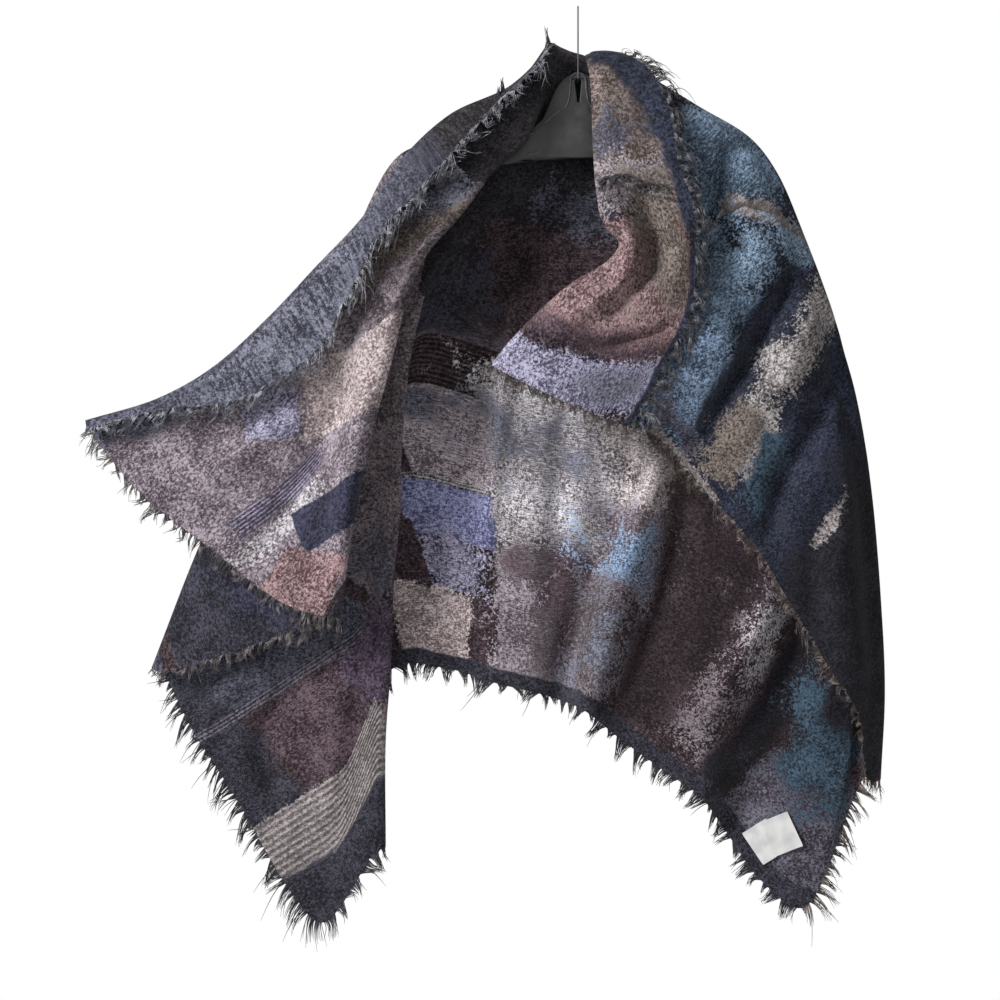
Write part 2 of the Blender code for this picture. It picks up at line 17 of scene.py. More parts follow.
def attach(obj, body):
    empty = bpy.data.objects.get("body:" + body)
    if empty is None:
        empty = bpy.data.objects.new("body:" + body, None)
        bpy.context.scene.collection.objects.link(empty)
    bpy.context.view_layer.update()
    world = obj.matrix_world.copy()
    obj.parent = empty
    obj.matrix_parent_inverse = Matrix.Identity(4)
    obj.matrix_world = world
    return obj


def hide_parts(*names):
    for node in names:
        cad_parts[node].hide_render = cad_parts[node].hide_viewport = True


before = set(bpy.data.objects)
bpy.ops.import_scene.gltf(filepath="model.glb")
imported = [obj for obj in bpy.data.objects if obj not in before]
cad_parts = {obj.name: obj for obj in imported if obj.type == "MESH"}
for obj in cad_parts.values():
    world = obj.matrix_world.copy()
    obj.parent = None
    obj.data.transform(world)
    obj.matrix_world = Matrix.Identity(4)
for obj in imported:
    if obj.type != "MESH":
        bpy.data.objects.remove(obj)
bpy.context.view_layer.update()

MM = 0.001
# Edges that turn by more than this, in degrees, stay sharp
SHARP_CLOTH = 40.0
SHARP_MOULDED = 50.0
SHARP_SMALL = 60.0
SHARP_YARN = 80.0

# Cloth
WALL = 2.0
WALL_AT_NECK = 1.0
ROWS = 150
COLUMN_WIDTH = 6.5
NECK_GATHER = 0.40
NECK_GAP = 2.6
FLAT_SHARE = 0.4
FOLD_DEPTH = 1.3
PATH_STEPS = 16
NARROW = 12
LEAST_STEP = 1e-6
CUT_WIDTH = 1.32
CUT_LENGTH = 1.02
CUT_NECK = (0.74, 0.84)
UNDULATION = 0.5
UNDULATION_WAVES = (55.0, 140.0)
UNDULATION_COUNT = 9
UNDULATION_SEED = 7
FULL_TURN = 6.28

# Camera and stage, in metres
CAMERA_DISTANCE = 3.2
CAMERA_CENTRE = (-0.0897, 0.0, -0.5635)
FIELD = 1.15
SENSOR = 36.0
FLOOR_HEIGHT = -1.5
FLOOR_RADIUS = 1.8
STAGE_MIDDLE = (-0.1, 0.0, -0.5)
SURROUND_LIGHT = 0.17

# Lamps: power in watts, then size and place in metres
LAMPS = {
    "key_light": (150.0, 1.0, (-2.3, -1.9, 1.0)),
    "fill_light": (25.0, 2.4, (0.6, -3.6, 0.6)),
    "back_light": (55.0, 1.6, (0.9, 2.4, 1.2)),
}

# Hanger: the plate's and arms' thickness, the sweep of the arms and the moulded beads on the face
PLATE_THICK = 5.0
ARM_THICK = 9.0
ARM_SWEEP = 16.0
HALF_SPAN = 201.3
HANGER_TILT = math.radians(1.3)
EYE_TOP = -80.0
EYE_RIM = 9.0
RIM_FLARE = [(64, -146), (52, -140), (40, -130), (30, -121), (20, -115), (14, -111), (11, -104), (9.4, -93)]
ARM_BEAD = [(-60, -166), (-40, -160), (0, -156), (40, -160), (60, -166)]
BEAD_RADIUS = 1.4
MOULD_FLAT = math.radians(1.5)
MOULD_EDGE = math.radians(50)
MOULD_ROUND = 1.1
RIM_STEPS = 12
RIM_DROP = 2.0
ARM_STARTS = 30.0

# Care label: two blank leaves of white tape
LEAF_WIDTH = 33.0
LEAF_LENGTH = 42.0
LEAF_TURN = math.radians(29)
TAPE_THICK = 0.35
LEAF_LIFT = 1.5
LEAF_SPLAY = math.radians(5)
LEAF_CURLS = {"care_label": (3.4, -LEAF_SPLAY), "care_label_under": (0.6, LEAF_SPLAY)}
LEAF_GRID = (14, 18)
CORNER_STARTS = (0.42, 0.44)
CORNER_CUT = 0.012
STITCH_ROW = -0.40
STITCH_WIDTH = 0.03
STITCH_DENT = 0.5
CURL_POWER = 2.5

# A fold's turn: "under" goes back behind itself, "over" comes forward over itself. Gap is how far
# apart its two layers lie once the fold has opened, between the two distances from the neck in
# opens. Side is where the layers lie when one looks along the run from the neck outwards: +1 to
# the left, -1 to the right.
Run = namedtuple("Run", "name turn gap opens side path")


def plain(name, path):
    return Run(name, None, 0, (0, 1), 0, path)


RUNS = [
    plain("long edge, left", [
        (-33, -17, -40), (-43, -31, -62), (-112, -63, -137), (-168, -76, -202), (-223, -82, -264),
        (-262, -83, -338), (-299, -79, -399), (-387, -70, -451), (-472, -60, -462), (-559, -51, -485)]),
    Run("wing top", "under", 11, (15, 260), 1, [
        (-34, -14, -41), (-43, -22, -57), (-79, -40, -94), (-146, -54, -128), (-204, -62, -184),
        (-242, -67, -243), (-296, -68, -301), (-350, -66, -358), (-413, -61, -414), (-476, -53, -449),
        (-560, -43, -474)]),
    plain("wing, upper", [
        (-35, -10, -41), (-66, -30, -86), (-98, -40, -112), (-142, -48, -160), (-195, -55, -222),
        (-240, -58, -275), (-320, -54, -380), (-496, -41, -558)]),
    plain("wing, middle", [
        (-35.5, -7, -41), (-56, -26, -90), (-78, -36, -114), (-113, -47, -164), (-166, -58, -226),
        (-208, -61, -276), (-285, -52, -430), (-422, -37, -616)]),
    plain("wing, lower", [
        (-36, -4, -41), (-47, -22, -92), (-60, -32, -116), (-90, -45, -168), (-143, -59, -232),
        (-184, -66, -284), (-243, -67, -400), (-283, -58, -508), (-336, -44, -680)]),
    Run("wing inner fold", "under", 13, (70, 330), -1, [
        (-36, -1, -40), (-41, -17, -92), (-60, -33, -151), (-92, -45, -184), (-133, -58, -240),
        (-175, -66, -290), (-197, -70, -346), (-211, -71, -402), (-234, -67, -489), (-257, -59, -600),
        (-271, -52, -698)]),
    plain("left front", [
        (-36, 1.5, -39), (-41, -10, -104), (-60, -17, -150), (-102, -24, -192), (-172, -34, -256),
        (-246, -42, -360), (-306, -36, -508), (-384, -24, -735)]),
    Run("left shoulder", "under", 16, (35, 95), 1, [
        (-35, 4, -38), (-43, -1, -104), (-92, -3, -129), (-147, -8, -151), (-204, -16, -169),
        (-264, -15, -278), (-322, -12, -378), (-380, -8, -496), (-436, -3, -620), (-490, 4, -757)]),
    plain("back left, outer", [
        (-33.5, 6.5, -37), (-43, 13, -116), (-78, 15, -160), (-204, 12, -250), (-284, 11, -390),
        (-358, 12, -590), (-450, 12, -818)]),
    plain("back left, middle", [
        (-32, 9, -36), (-42, 16, -120), (-70, 18, -166), (-192, 15, -262), (-262, 12, -420),
        (-326, 10, -680), (-388, 10, -918)]),
    plain("back left, inner", [
        (-30, 11, -36), (-40, 18.5, -123), (-64, 20, -170), (-180, 17, -268), (-242, 11, -450),
        (-286, 6, -736), (-332, 5, -1012)]),
    plain("left end corner", [
        (-28, 12.5, -36), (-38, 20, -126), (-59, 22, -173), (-169, 19, -272), (-212, 13, -380),
        (-227, 7, -490), (-256, 2, -736), (-294, 3, -1050)]),
    Run("back left fold", "under", 11, (230, 420), -1, [
        (-26, 13.5, -37), (-35, 22, -129), (-54, 24, -176), (-154, 21, -272), (-190, 17, -380),
        (-204, 10, -506), (-204, 6, -564), (-212, 4, -645), (-216, 2, -753), (-222, 0, -840),
        (-222, 0, -962)]),
    Run("hidden pleat", "under", 11, (230, 420), 1, [
        (-24, 14.5, -38), (-32, 24, -131), (-48, 27, -179), (-142, 32, -278), (-174, 34, -320),
        (-214, 32, -390), (-258, 28, -564), (-284, 26, -736), (-286, 25, -872)]),
    plain("back, by pleat", [
        (-20, 15.5, -40), (-28, 26, -133), (-40, 30, -182), (-118, 38, -280), (-186, 41, -384),
        (-214, 40, -560), (-212, 37, -758)]),
    plain("back, first valley", [
        (-15, 16.5, -42), (-21, 28, -136), (-30, 32, -184), (-80, 41, -284), (-112, 42, -506),
        (-132, 42, -652), (-150, 40, -760)]),
    plain("back, pale panel", [
        (-10, 17.5, -44), (-12, 29, -138), (-18, 33.5, -186), (-44, 38, -284), (-60, 28, -506),
        (-80, 20, -679), (-92, 17, -776)]),
    plain("back, speckled panel", [
        (-4, 18, -46), (0, 29.5, -138), (4, 33.5, -186), (8, 36, -284), (8, 26, -506),
        (-24, 22, -679), (-50, 20, -786)]),
    plain("back, second valley", [
        (0, 18, -47), (14, 29, -136), (26, 33.5, -186), (46, 36, -284), (62, 33, -472), (25, 33, -633),
        (-3, 35, -736), (-20, 35, -796)]),
    plain("first ridge", [
        (3, 17.5, -48), (24, 28, -133), (40, 32.5, -183), (66, 35, -280), (96, 20, -472), (71, 4, -610),
        (40, -2, -713), (8, -3, -806)]),
    plain("back, third valley", [
        (6, 17, -49), (33, 27, -128), (54, 32, -179), (88, 35, -280), (130, 26, -472), (117, 24, -633),
        (89, 25, -748), (54, 26, -844)]),
    plain("back, maroon panel", [
        (8, 16.5, -50), (43, 26, -122), (70, 31, -173), (112, 34, -276), (162, 26, -483),
        (172, 14, -656), (129, 9, -782), (100, 11, -876)]),
    plain("second ridge", [
        (10, 16, -50), (54, 25, -116), (86, 30, -166), (138, 33, -272), (196, 24, -506),
        (211, 9, -690), (203, 4, -750), (184, 0, -812), (141, -3, -905)]),
    plain("back, deep valley", [
        (11.5, 15.5, -50), (63, 24, -110), (102, 28, -158), (164, 31, -268), (230, 26, -506),
        (252, 14, -700), (248, 22, -770), (232, 27, -838), (170, 34, -944)]),
    plain("back, by label", [
        (13, 16, -50), (71, 22, -104), (118, 25, -150), (192, 27, -264), (266, 24, -506),
        (288, 17, -725), (268, 16, -863), (212, 13, -1003)]),
    plain("right end corner", [
        (16, 16.5, -50), (78, 20, -98), (133, 22, -142), (216, 24, -260), (290, 21, -506),
        (308, 15, -725), (300, 9, -886), (259, 4, -1033)]),
    Run("right fold", "over", 24, (60, 420), -1, [
        (22, 14.5, -49.5), (50, 13, -56), (84, 4, -77), (140, -6, -113), (196, -14, -149), (226, -16, -188),
        (258, -16, -262), (289, -17, -346), (318, -15, -449), (335, -11, -552), (346, -5, -667),
        (352, 0, -782), (348, 5, -885)]),
    plain("right front, outer", [
        (24, 9.5, -51.5), (50, 0, -65), (88, -9, -96), (180, -27, -154), (236, -42, -288), (290, -46, -483),
        (312, -37, -679), (318, -27, -806)]),
    plain("right front, bulge", [
        (22, 7.5, -53), (47, -4, -71), (80, -14, -102), (158, -32, -164), (207, -51, -299),
        (254, -58, -483), (278, -50, -633), (284, -39, -754)]),
    plain("right front, groove", [
        (20, 6.5, -54), (44, -6, -75), (73, -18, -108), (140, -31, -176), (178, -43, -311), (214, -52, -483),
        (241, -42, -684)]),
    plain("right front, pale wedge", [
        (18, 5.7, -55), (41, -8, -79), (65, -20, -114), (122, -34, -190), (156, -50, -316), (190, -55, -483),
        (202, -44, -619)]),
    plain("right front, point", [
        (16, 5, -56), (37, -10, -82), (58, -22, -120), (104, -36, -204), (132, -50, -320), (140, -52, -449),
        (145, -41, -556)]),
    plain("right front, inner", [
        (14, 4.5, -57), (34, -11, -85), (51, -22, -128), (84, -37, -216), (98, -50, -326), (99, -50, -426),
        (88, -42, -492)]),
    plain("right front, under lapel", [
        (12.5, 4.5, -57.5), (31, -12, -88), (42, -23, -140), (54, -38, -220), (52, -46, -300),
        (26, -49, -384), (-9, -42, -450)]),
    Run("lapel fold", "over", 12, (60, 240), 1, [
        (9, 2, -54), (8, -7, -54), (12, -17, -72), (15, -24, -103), (16, -32, -147), (20, -45, -212),
        (27, -56, -251), (45, -56, -275), (31, -60, -295), (-9, -64, -320), (-47, -66, -353),
        (-79, -64, -386), (-99, -60, -411)]),
    plain("lapel, inner", [
        (16, 6, -47.5), (21, -6, -50), (27, -20, -74), (38, -46, -161), (50, -62, -240),
        (70, -68, -296), (30, -76, -362), (-53, -70, -436)]),
    plain("lapel, middle", [
        (32, 7, -46), (38, -4, -49), (50, -20, -72), (72, -50, -161), (90, -66, -242),
        (100, -74, -322), (62, -80, -403), (3, -73, -462)]),
    plain("long edge, right", [
        (50, 7, -48), (66, 0, -56), (84, -14, -74), (104, -38, -119), (113, -58, -179),
        (126, -69, -230), (131, -74, -294), (121, -77, -362), (95, -77, -409), (76, -74, -449),
        (56, -68, -482)]),
]


def smooth_step(value):
    value = np.clip(value, 0.0, 1.0)
    return value * value * (3.0 - 2.0 * value)


def curve_between(before, start, end, after, share):
    """Centripetal Catmull-Rom point a share of the way from start to end, for arrays of points."""
    def knot(first, second):
        return np.maximum(np.linalg.norm(second - first, axis=-1, keepdims=True), LEAST_STEP) ** 0.5
    t1 = knot(before, start)
    t2 = t1 + knot(start, end)
    t3 = t2 + knot(end, after)
    t = t1 + (t2 - t1) * share
    a1 = before * (t1 - t) / t1 + start * t / t1
    a2 = start * (t2 - t) / (t2 - t1) + end * (t - t1) / (t2 - t1)
    a3 = end * (t3 - t) / (t3 - t2) + after * (t - t2) / (t3 - t2)
    b1 = a1 * (t2 - t) / t2 + a2 * t / t2
    b2 = a2 * (t3 - t) / (t3 - t1) + a3 * (t - t1) / (t3 - t1)
    return b1 * (t2 - t) / (t2 - t1) + b2 * (t - t1) / (t2 - t1)


def reach_along(points):
    """How far each point of a line lies from the line's start."""
    return np.concatenate([[0.0], np.cumsum(np.linalg.norm(np.diff(points, axis=0), axis=1))])


def smooth_path(path, count):
    """Count points spaced evenly along a smooth curve through the path's points."""
    points = np.array(path, dtype=float)
    points = np.vstack([2 * points[0] - points[1], points, 2 * points[-1] - points[-2]])
    dense = [points[1]]
    for i in range(1, len(points) - 2):
        for step in range(1, PATH_STEPS + 1):
            dense.append(curve_between(*points[i - 1:i + 3], step / PATH_STEPS))
    dense = np.array(dense)
    reach = reach_along(dense)
    wanted = np.linspace(0.0, reach[-1], count)
    return np.stack([np.interp(wanted, reach, dense[:, axis]) for axis in range(3)], axis=1)


def fold_columns(run, before, after, count):
    """The two layers beside a fold and the turn between them, in the order the cloth meets them.

    Towards the neck the fold flattens out, and its columns lie between the runs beside it."""
    turn = smooth_path(run.path, count)
    along = np.gradient(turn, axis=0)
    inward = np.stack([-along[:, 2], np.zeros(count), along[:, 0]], axis=1) * run.side
    inward /= np.linalg.norm(inward, axis=1, keepdims=True)
    opened = smooth_step((reach_along(turn) - run.opens[0]) / (run.opens[1] - run.opens[0]))[:, None]
    half_gap = NECK_GAP / 2 + (run.gap - NECK_GAP) / 2 * opened
    flat_before = turn + (smooth_path(before.path, count) - turn) * FLAT_SHARE
    flat_after = turn + (smooth_path(after.path, count) - turn) * FLAT_SHARE
    back = np.array([[0.0, 1.0, 0.0]])
    behind_turn = turn + inward * half_gap * FOLD_DEPTH
    front_layer = behind_turn - back * half_gap
    back_layer = behind_turn + back * half_gap
    first, last = (front_layer, back_layer) if run.turn == "under" else (back_layer, front_layer)
    return [flat_before + (first - flat_before) * opened, turn, flat_after + (last - flat_after) * opened]


def build_cage():
    """All columns of the cloth, and the column where each run lies (or its hidden layer starts)."""
    columns = []
    place = {}
    for i, run in enumerate(RUNS):
        if run.turn is None:
            place[run.name] = len(columns)
            columns.append(smooth_path(run.path, ROWS))
            continue
        layers = fold_columns(run, RUNS[i - 1], RUNS[i + 1], ROWS)
        place[run.name] = len(columns) + (2 if run.turn == "under" else 0)
        columns.extend(layers)
    return np.array(columns), place


def fill_between(cage):
    """Cloth columns close enough to look smooth, and where each cage column went."""
    last = len(cage) - 1
    columns = [cage[0]]
    place = [0]
    for i in range(last):
        before = cage[i - 1] if i > 0 else 2 * cage[0] - cage[1]
        after = cage[i + 2] if i + 2 <= last else 2 * cage[last] - cage[last - 1]
        width = np.linalg.norm(cage[i + 1] - cage[i], axis=1).max()
        steps = max(1 if width < NARROW else 2, math.ceil(width / COLUMN_WIDTH))
        for step in range(1, steps + 1):
            columns.append(curve_between(before, cage[i], cage[i + 1], after, step / steps))
        place.append(len(columns) - 1)
    return np.array(columns), place


def unit(vectors):
    return vectors / np.maximum(np.linalg.norm(vectors, axis=-1, keepdims=True), 1e-9)


def directions(sheet, axis):
    """Direction of the sheet's lines at each point, halfway between the steps on its two sides."""
    steps = unit(np.diff(sheet, axis=axis))
    ends = np.take(steps, [0], axis=axis), np.take(steps, [-1], axis=axis)
    before = np.concatenate([ends[0], steps], axis=axis)
    after = np.concatenate([steps, ends[1]], axis=axis)
    return unit(before + after)


def cloth_normals(sheet):
    """Unit normals of the sheet, all on the same side of it."""
    return unit(np.cross(directions(sheet, 0), directions(sheet, 1)))


# Stretches of cloth between two runs, in order
Stretch = namedtuple("Stretch", "name first last")

STRETCHES = [
    Stretch("left_margin", "long edge, left", "wing top"),
    Stretch("left_wing", "wing top", "wing inner fold"),
    Stretch("left_front", "wing inner fold", "left shoulder"),
    Stretch("back_left", "left shoulder", "back left fold"),
    Stretch("back_pleat", "back left fold", "hidden pleat"),
    Stretch("back_middle", "hidden pleat", "back, second valley"),
    Stretch("back_right", "back, second valley", "right fold"),
    Stretch("right_front", "right fold", "lapel fold"),
    Stretch("right_lapel", "lapel fold", "long edge, right"),
]

STRETCH_NAMED = {stretch.name: stretch for stretch in STRETCHES}

# Soft creases: depth is how far the cloth comes forward, or back below zero, on a path in x and z;
# one that runs over a fold takes in the stretches on both sides of it
Crease = namedtuple("Crease", "stretches depth width path")
LAPEL = ("right_front", "right_lapel")

CREASES = [
    Crease(("left_margin",), 4.0, 14, [(-140, -150), (-240, -275), (-330, -378)]),
    Crease(("left_wing",), -13.0, 16, [(-230, -380), (-290, -500), (-370, -640)]),
    Crease(("left_wing",), 13.0, 17, [(-200, -300), (-245, -400), (-262, -540), (-270, -680)]),
    Crease(("left_wing",), 11.0, 19, [(-290, -440), (-370, -500), (-440, -560)]),
    Crease(("left_wing",), -7.0, 13, [(-120, -150), (-200, -250), (-250, -330)]),
    Crease(("left_front",), 6.0, 16, [(-330, -640), (-400, -690), (-440, -730)]),
    Crease(("back_left",), 13.0, 17, [(-262, -700), (-278, -820), (-292, -960)]),
    Crease(("back_left",), -14.0, 16, [(-322, -740), (-366, -850), (-346, -930)]),
    Crease(("back_left",), 12.0, 16, [(-350, -740), (-420, -800), (-440, -860)]),
    Crease(("back_middle",), 14.0, 13, [(-66, -300), (-88, -447), (-106, -590), (-122, -740)]),
    Crease(("back_middle",), -13.0, 15, [(-10, -420), (-22, -560), (-34, -700)]),
    Crease(("back_middle",), -7.0, 10, [(-60, -190), (10, -215), (60, -250)]),
    Crease(("back_middle", "back_right"), -11.0, 11, [(70, -480), (62, -560), (40, -640)]),
    Crease(("back_right",), 19.0, 16, [(96, -500), (56, -610), (24, -690), (-6, -770)]),
    Crease(("back_right",), -20.0, 16, [(126, -560), (92, -660), (52, -770), (30, -810)]),
    Crease(("back_right",), 22.0, 17, [(236, -660), (186, -740), (132, -830)]),
    Crease(("back_right",), -24.0, 18, [(266, -690), (216, -780), (158, -880)]),
    Crease(("back_right",), 7.0, 18, [(150, -560), (136, -650), (112, -740)]),
    Crease(("back_right",), 7.0, 22, [(300, -700), (285, -800), (272, -880)]),
    Crease(("right_front",), -24.0, 15, [(180, -150), (168, -205), (152, -254), (130, -300)]),
    Crease(("right_front",), 13.0, 26, [(216, -262), (176, -340), (130, -410), (92, -460)]),
    Crease(("right_front",), -27.0, 15, [(250, -296), (212, -372), (166, -445), (122, -530)]),
    Crease(("right_front",), 13.0, 17, [(280, -330), (240, -405), (190, -490)]),
    Crease(("right_front",), -19.0, 16, [(304, -380), (270, -470), (226, -560), (214, -630)]),
    Crease(("right_front",), 9.0, 20, [(312, -500), (296, -630), (318, -780)]),
    Crease(("right_front",), -9.0, 15, [(276, -560), (264, -660), (288, -760)]),
    Crease(LAPEL, 19.0, 13, [(20, -205), (52, -262), (62, -296), (46, -326), (8, -346), (-42, -380)]),
    Crease(LAPEL, -25.0, 14, [(66, -205), (88, -262), (80, -300), (52, -330), (26, -358)]),
    Crease(LAPEL, 8.0, 14, [(112, -230), (114, -290), (98, -345)]),
    Crease(LAPEL, -14.0, 8, [(-30, -392), (34, -391), (85, -377), (118, -360)]),
    Crease(LAPEL, 7.0, 15, [(-60, -422), (0, -424), (70, -430)]),
    Crease(LAPEL, -7.0, 12, [(48, -60), (74, -110), (88, -170)]),
    Crease(LAPEL, 7.0, 12, [(20, -70), (30, -130), (34, -180)]),
]
FOLD_HOLD = 3
CREASE_TAPER = 0.6

# Fringed stretches of edge, between two runs or along one: the bare ends, the locks' widths and the
# yarn's length in millimetres
Fringed = namedtuple("Fringed", "name first last margins locks yarn length curl strays")

FRINGED = [
    Fringed("fringe_left_margin", "long edge, left", "long edge, left",
            (8, 6), (3, 11), "slate yarn", 21, 2.2, 0.26),
    Fringed("fringe_left_wing", "wing top", "wing inner fold",
            (2, 2), (4, 13), "mauve brown yarn", 21, 1.2, 0.12),
    Fringed("fringe_left_front", "wing inner fold", "left shoulder",
            (2, 2), (5, 14), "mauve brown yarn", 17, 1.5, 0.12),
    Fringed("fringe_left_end", "left shoulder", "left end corner",
            (1, 1), (4, 13), "navy yarn", 31, 0.6, 0.18),
    Fringed("fringe_left_hem", "left end corner", "back left fold",
            (1, 2), (9, 24), "navy yarn", 20, 0.6, 0.08),
    Fringed("fringe_middle_hem", "hidden pleat", "back, second valley",
            (2, 0), (8, 22), "navy yarn", 17, 0.9, 0.06),
    Fringed("fringe_right_hem", "back, second valley", "right end corner",
            (0, 1), (8, 26), "navy yarn", 20, 0.8, 0.06),
    Fringed("fringe_right_end", "right end corner", "right fold",
            (1, 2), (4, 14), "brown yarn", 30, 0.6, 0.20),
    Fringed("fringe_right_front", "right fold", "lapel fold",
            (2, 2), (4, 11), "brown yarn", 17, 1.5, 0.16),
    Fringed("fringe_lapel_end", "lapel fold", "long edge, right",
            (2, 2), (3, 8), "brown yarn", 16, 1.1, 0.10),
    Fringed("fringe_lapel_edge", "long edge, right", "long edge, right",
            (6, 3), (4, 11), "dark navy yarn", 34, 2.4, 0.14),
]
STRAND_PITCH = 1.05
STRAND_RADIUS = 0.48
STRAND_STEPS = 9
FLATTEST_RISE = 0.25
EDGE_RISE = 2.6
WORN_SHARE = 0.22
WORN_LENGTH = 0.5
STRAY_SPREAD = 3
STRAND_ROOT = 2.0
STRAND_TAPER = (1.2, 0.9, 1.6)
# Each lock and each strand draws its share from between two ends
LOCK_TIP = (0.1, 0.9)
LOCK_LENGTH = (0.60, 1.0)
LOCK_SWING = (-0.55, 0.55)
LOCK_TURNS = (0.25, 0.9)
LOCK_WIDTH = (1.2, 3.4)
LOCK_RISE = (0.3, 2.4)
LOCK_DROOP = (0.15, 0.65)
LOCK_CLOSING = (0.55, 0.95)
STRAND_SWING = (-0.12, 0.12)
STRAND_WIDTH = (0.7, 1.3)
STRAND_TURNS = (0.85, 1.15)
STRAND_LENGTH = (0.70, 1.0)
STRAND_START = (-0.7, 0.7)
STRAY_LENGTH = (0.8, 1.7)
SEAM_LENGTH = (0.45, 1.1)
TUFT_LENGTH = (0.5, 1.0)

# Frayed seams that lie on the cloth: a path in x and z, and the way that their yarn lies
Seam = namedtuple("Seam", "stretch path lie yarn length")

SEAMS = [
    Seam("right_front", [(142, -262), (162, -240), (188, -228), (220, -236), (244, -260), (262, -300)],
         (0.5, 0.9), "oat yarn", 10),
    Seam("right_lapel", [(20, -212), (52, -206), (84, -216), (110, -224)],
         (0.1, -1.0), "mauve brown yarn", 9),
]
# Loops of dark yarn stitched in a row on the lapel
LOOP_PATH = [(24, -206), (52, -200), (84, -210), (108, -218)]
LOOP_LENGTH = 13.0
LOOP_SIZE = (6.0, 4.4)
LOOP_RADIUS = 1.5
SEAM_LIFT = 2.2
SEAM_PITCH = 0.7
LOOP_PITCH = 0.8
LOOP_LIFT = 2.4
SEAM_STEPS = 6
FRONT_FIRST = 0.1
NEAREST = 6
EVENED = 3

# Tufts that stand up from the neck's edge: their foot in x and z, their lean and their length
TUFTS = [(-33, -42, -0.20, 23), (-38, -50, 0.16, 15), (-86, -98, -0.15, 15), (-92, -106, 0.12, 13),
         (-118, -124, -0.6, 9)]
TUFT_STRANDS = 10
TUFT_FOOT = 4.0

YARNS = {
    "slate yarn": ((0.06, 0.062, 0.08), (0.48, 0.48, 0.54)),
    "navy yarn": ((0.007, 0.007, 0.012), (0.062, 0.06, 0.078)),
    "dark navy yarn": ((0.007, 0.007, 0.011), (0.25, 0.24, 0.275)),
    "brown yarn": ((0.03, 0.022, 0.02), (0.34, 0.27, 0.24)),
    "oat yarn": ((0.09, 0.078, 0.074), (0.48, 0.43, 0.41)),
    "mauve brown yarn": ((0.026, 0.021, 0.025), (0.3, 0.255, 0.255)),
}


class Value:
    """A shader value that takes arithmetic: each operation adds one Math node to its tree."""

    def __init__(self, tree, socket):
        self.tree = tree
        self.socket = socket

    def math(self, operation, other=None, reflected=False):
        pair = (other, self) if reflected else (self, other)
        return self.tree.node("ShaderNodeMath", {"operation": operation},
                              {i: value for i, value in enumerate(pair) if value is not None})

    def __add__(self, other):
        return self.math("ADD", other)

    __radd__ = __add__

    def __sub__(self, other):
        return self.math("SUBTRACT", other)

    def __rsub__(self, other):
        return self.math("SUBTRACT", other, reflected=True)

    def __mul__(self, other):
        return self.math("MULTIPLY", other)

    __rmul__ = __mul__

    def least(self, other):
        return self.math("MINIMUM", other)

    def size(self):
        return self.math("ABSOLUTE")

    def sine(self):
        return self.math("SINE")

    def between(self, low, high):
        """Zero below low, one above high and a soft rise between them."""
        return self.tree.node("ShaderNodeMapRange", {"interpolation_type": "SMOOTHSTEP"},
                              {"Value": self, "From Min": low, "From Max": high})


SHADER_SOCKETS = {
    "roughness": "Roughness",
    "metallic": "Metallic",
    "sheen_weight": "Sheen Weight",
    "sheen_roughness": "Sheen Roughness",
    "specular_ior_level": "Specular IOR Level",
}
# Sockets by number, where a name stands for more than one
OBJECT_PLACES = 3
ATTRIBUTE_VECTOR = 1
MIX_INPUTS = (0, 6, 7)
MIX_COLOUR = 2


class Finish:
    """One material's node tree, with short ways to the nodes that it uses."""

    def __init__(self, name, **constants):
        self.material = bpy.data.materials.new(name)
        self.material.use_nodes = True
        self.nodes = self.material.node_tree.nodes
        self.links = self.material.node_tree.links
        self.shader = self.nodes["Principled BSDF"]
        for socket, value in constants.items():
            self.shader.inputs[SHADER_SOCKETS[socket]].default_value = value

    def node(self, kind, settings=None, values=None, output=0):
        made = self.nodes.new(kind)
        for key, setting in (settings or {}).items():
            setattr(made, key, setting)
        for key, value in (values or {}).items():
            if isinstance(value, Value):
                self.links.new(value.socket, made.inputs[key])
            else:
                made.inputs[key].default_value = value
        return Value(self, made.outputs[output])

    def places(self):
        """Each point's place on the piece, in metres."""
        return self.node("ShaderNodeTexCoord", output=OBJECT_PLACES)

    def noise(self, where, scale, detail=2.0, roughness=0.5, **more):
        values = {"Vector": where, "Scale": scale, "Detail": detail, "Roughness": roughness, **more}
        return self.node("ShaderNodeTexNoise", values=values)

    def blend(self, share, first, second):
        """A colour between two colours."""
        pair = [(*value, 1.0) if isinstance(value, tuple) else value for value in (first, second)]
        values = dict(zip(MIX_INPUTS, (share, *pair)))
        return self.node("ShaderNodeMix", {"data_type": "RGBA"}, values, output=MIX_COLOUR)

    def parts(self, vector):
        split = self.node("ShaderNodeSeparateXYZ", values={"Vector": vector}).socket.node
        return [Value(self, output) for output in split.outputs]

    def stretched(self, vector, scale, turn=0.0):
        return self.node("ShaderNodeMapping",
                         values={"Vector": vector, "Rotation": (0, 0, turn), "Scale": scale})

    def surface(self, colour, height, distance, roughness=None):
        """Feeds colour, relief and roughness to the shader."""
        self.links.new(colour.socket, self.shader.inputs["Base Color"])
        bump = self.node("ShaderNodeBump", values={"Height": height, "Distance": distance})
        self.links.new(bump.socket, self.shader.inputs["Normal"])
        if roughness is not None:
            self.links.new(roughness.socket, self.shader.inputs["Roughness"])
        return self.material


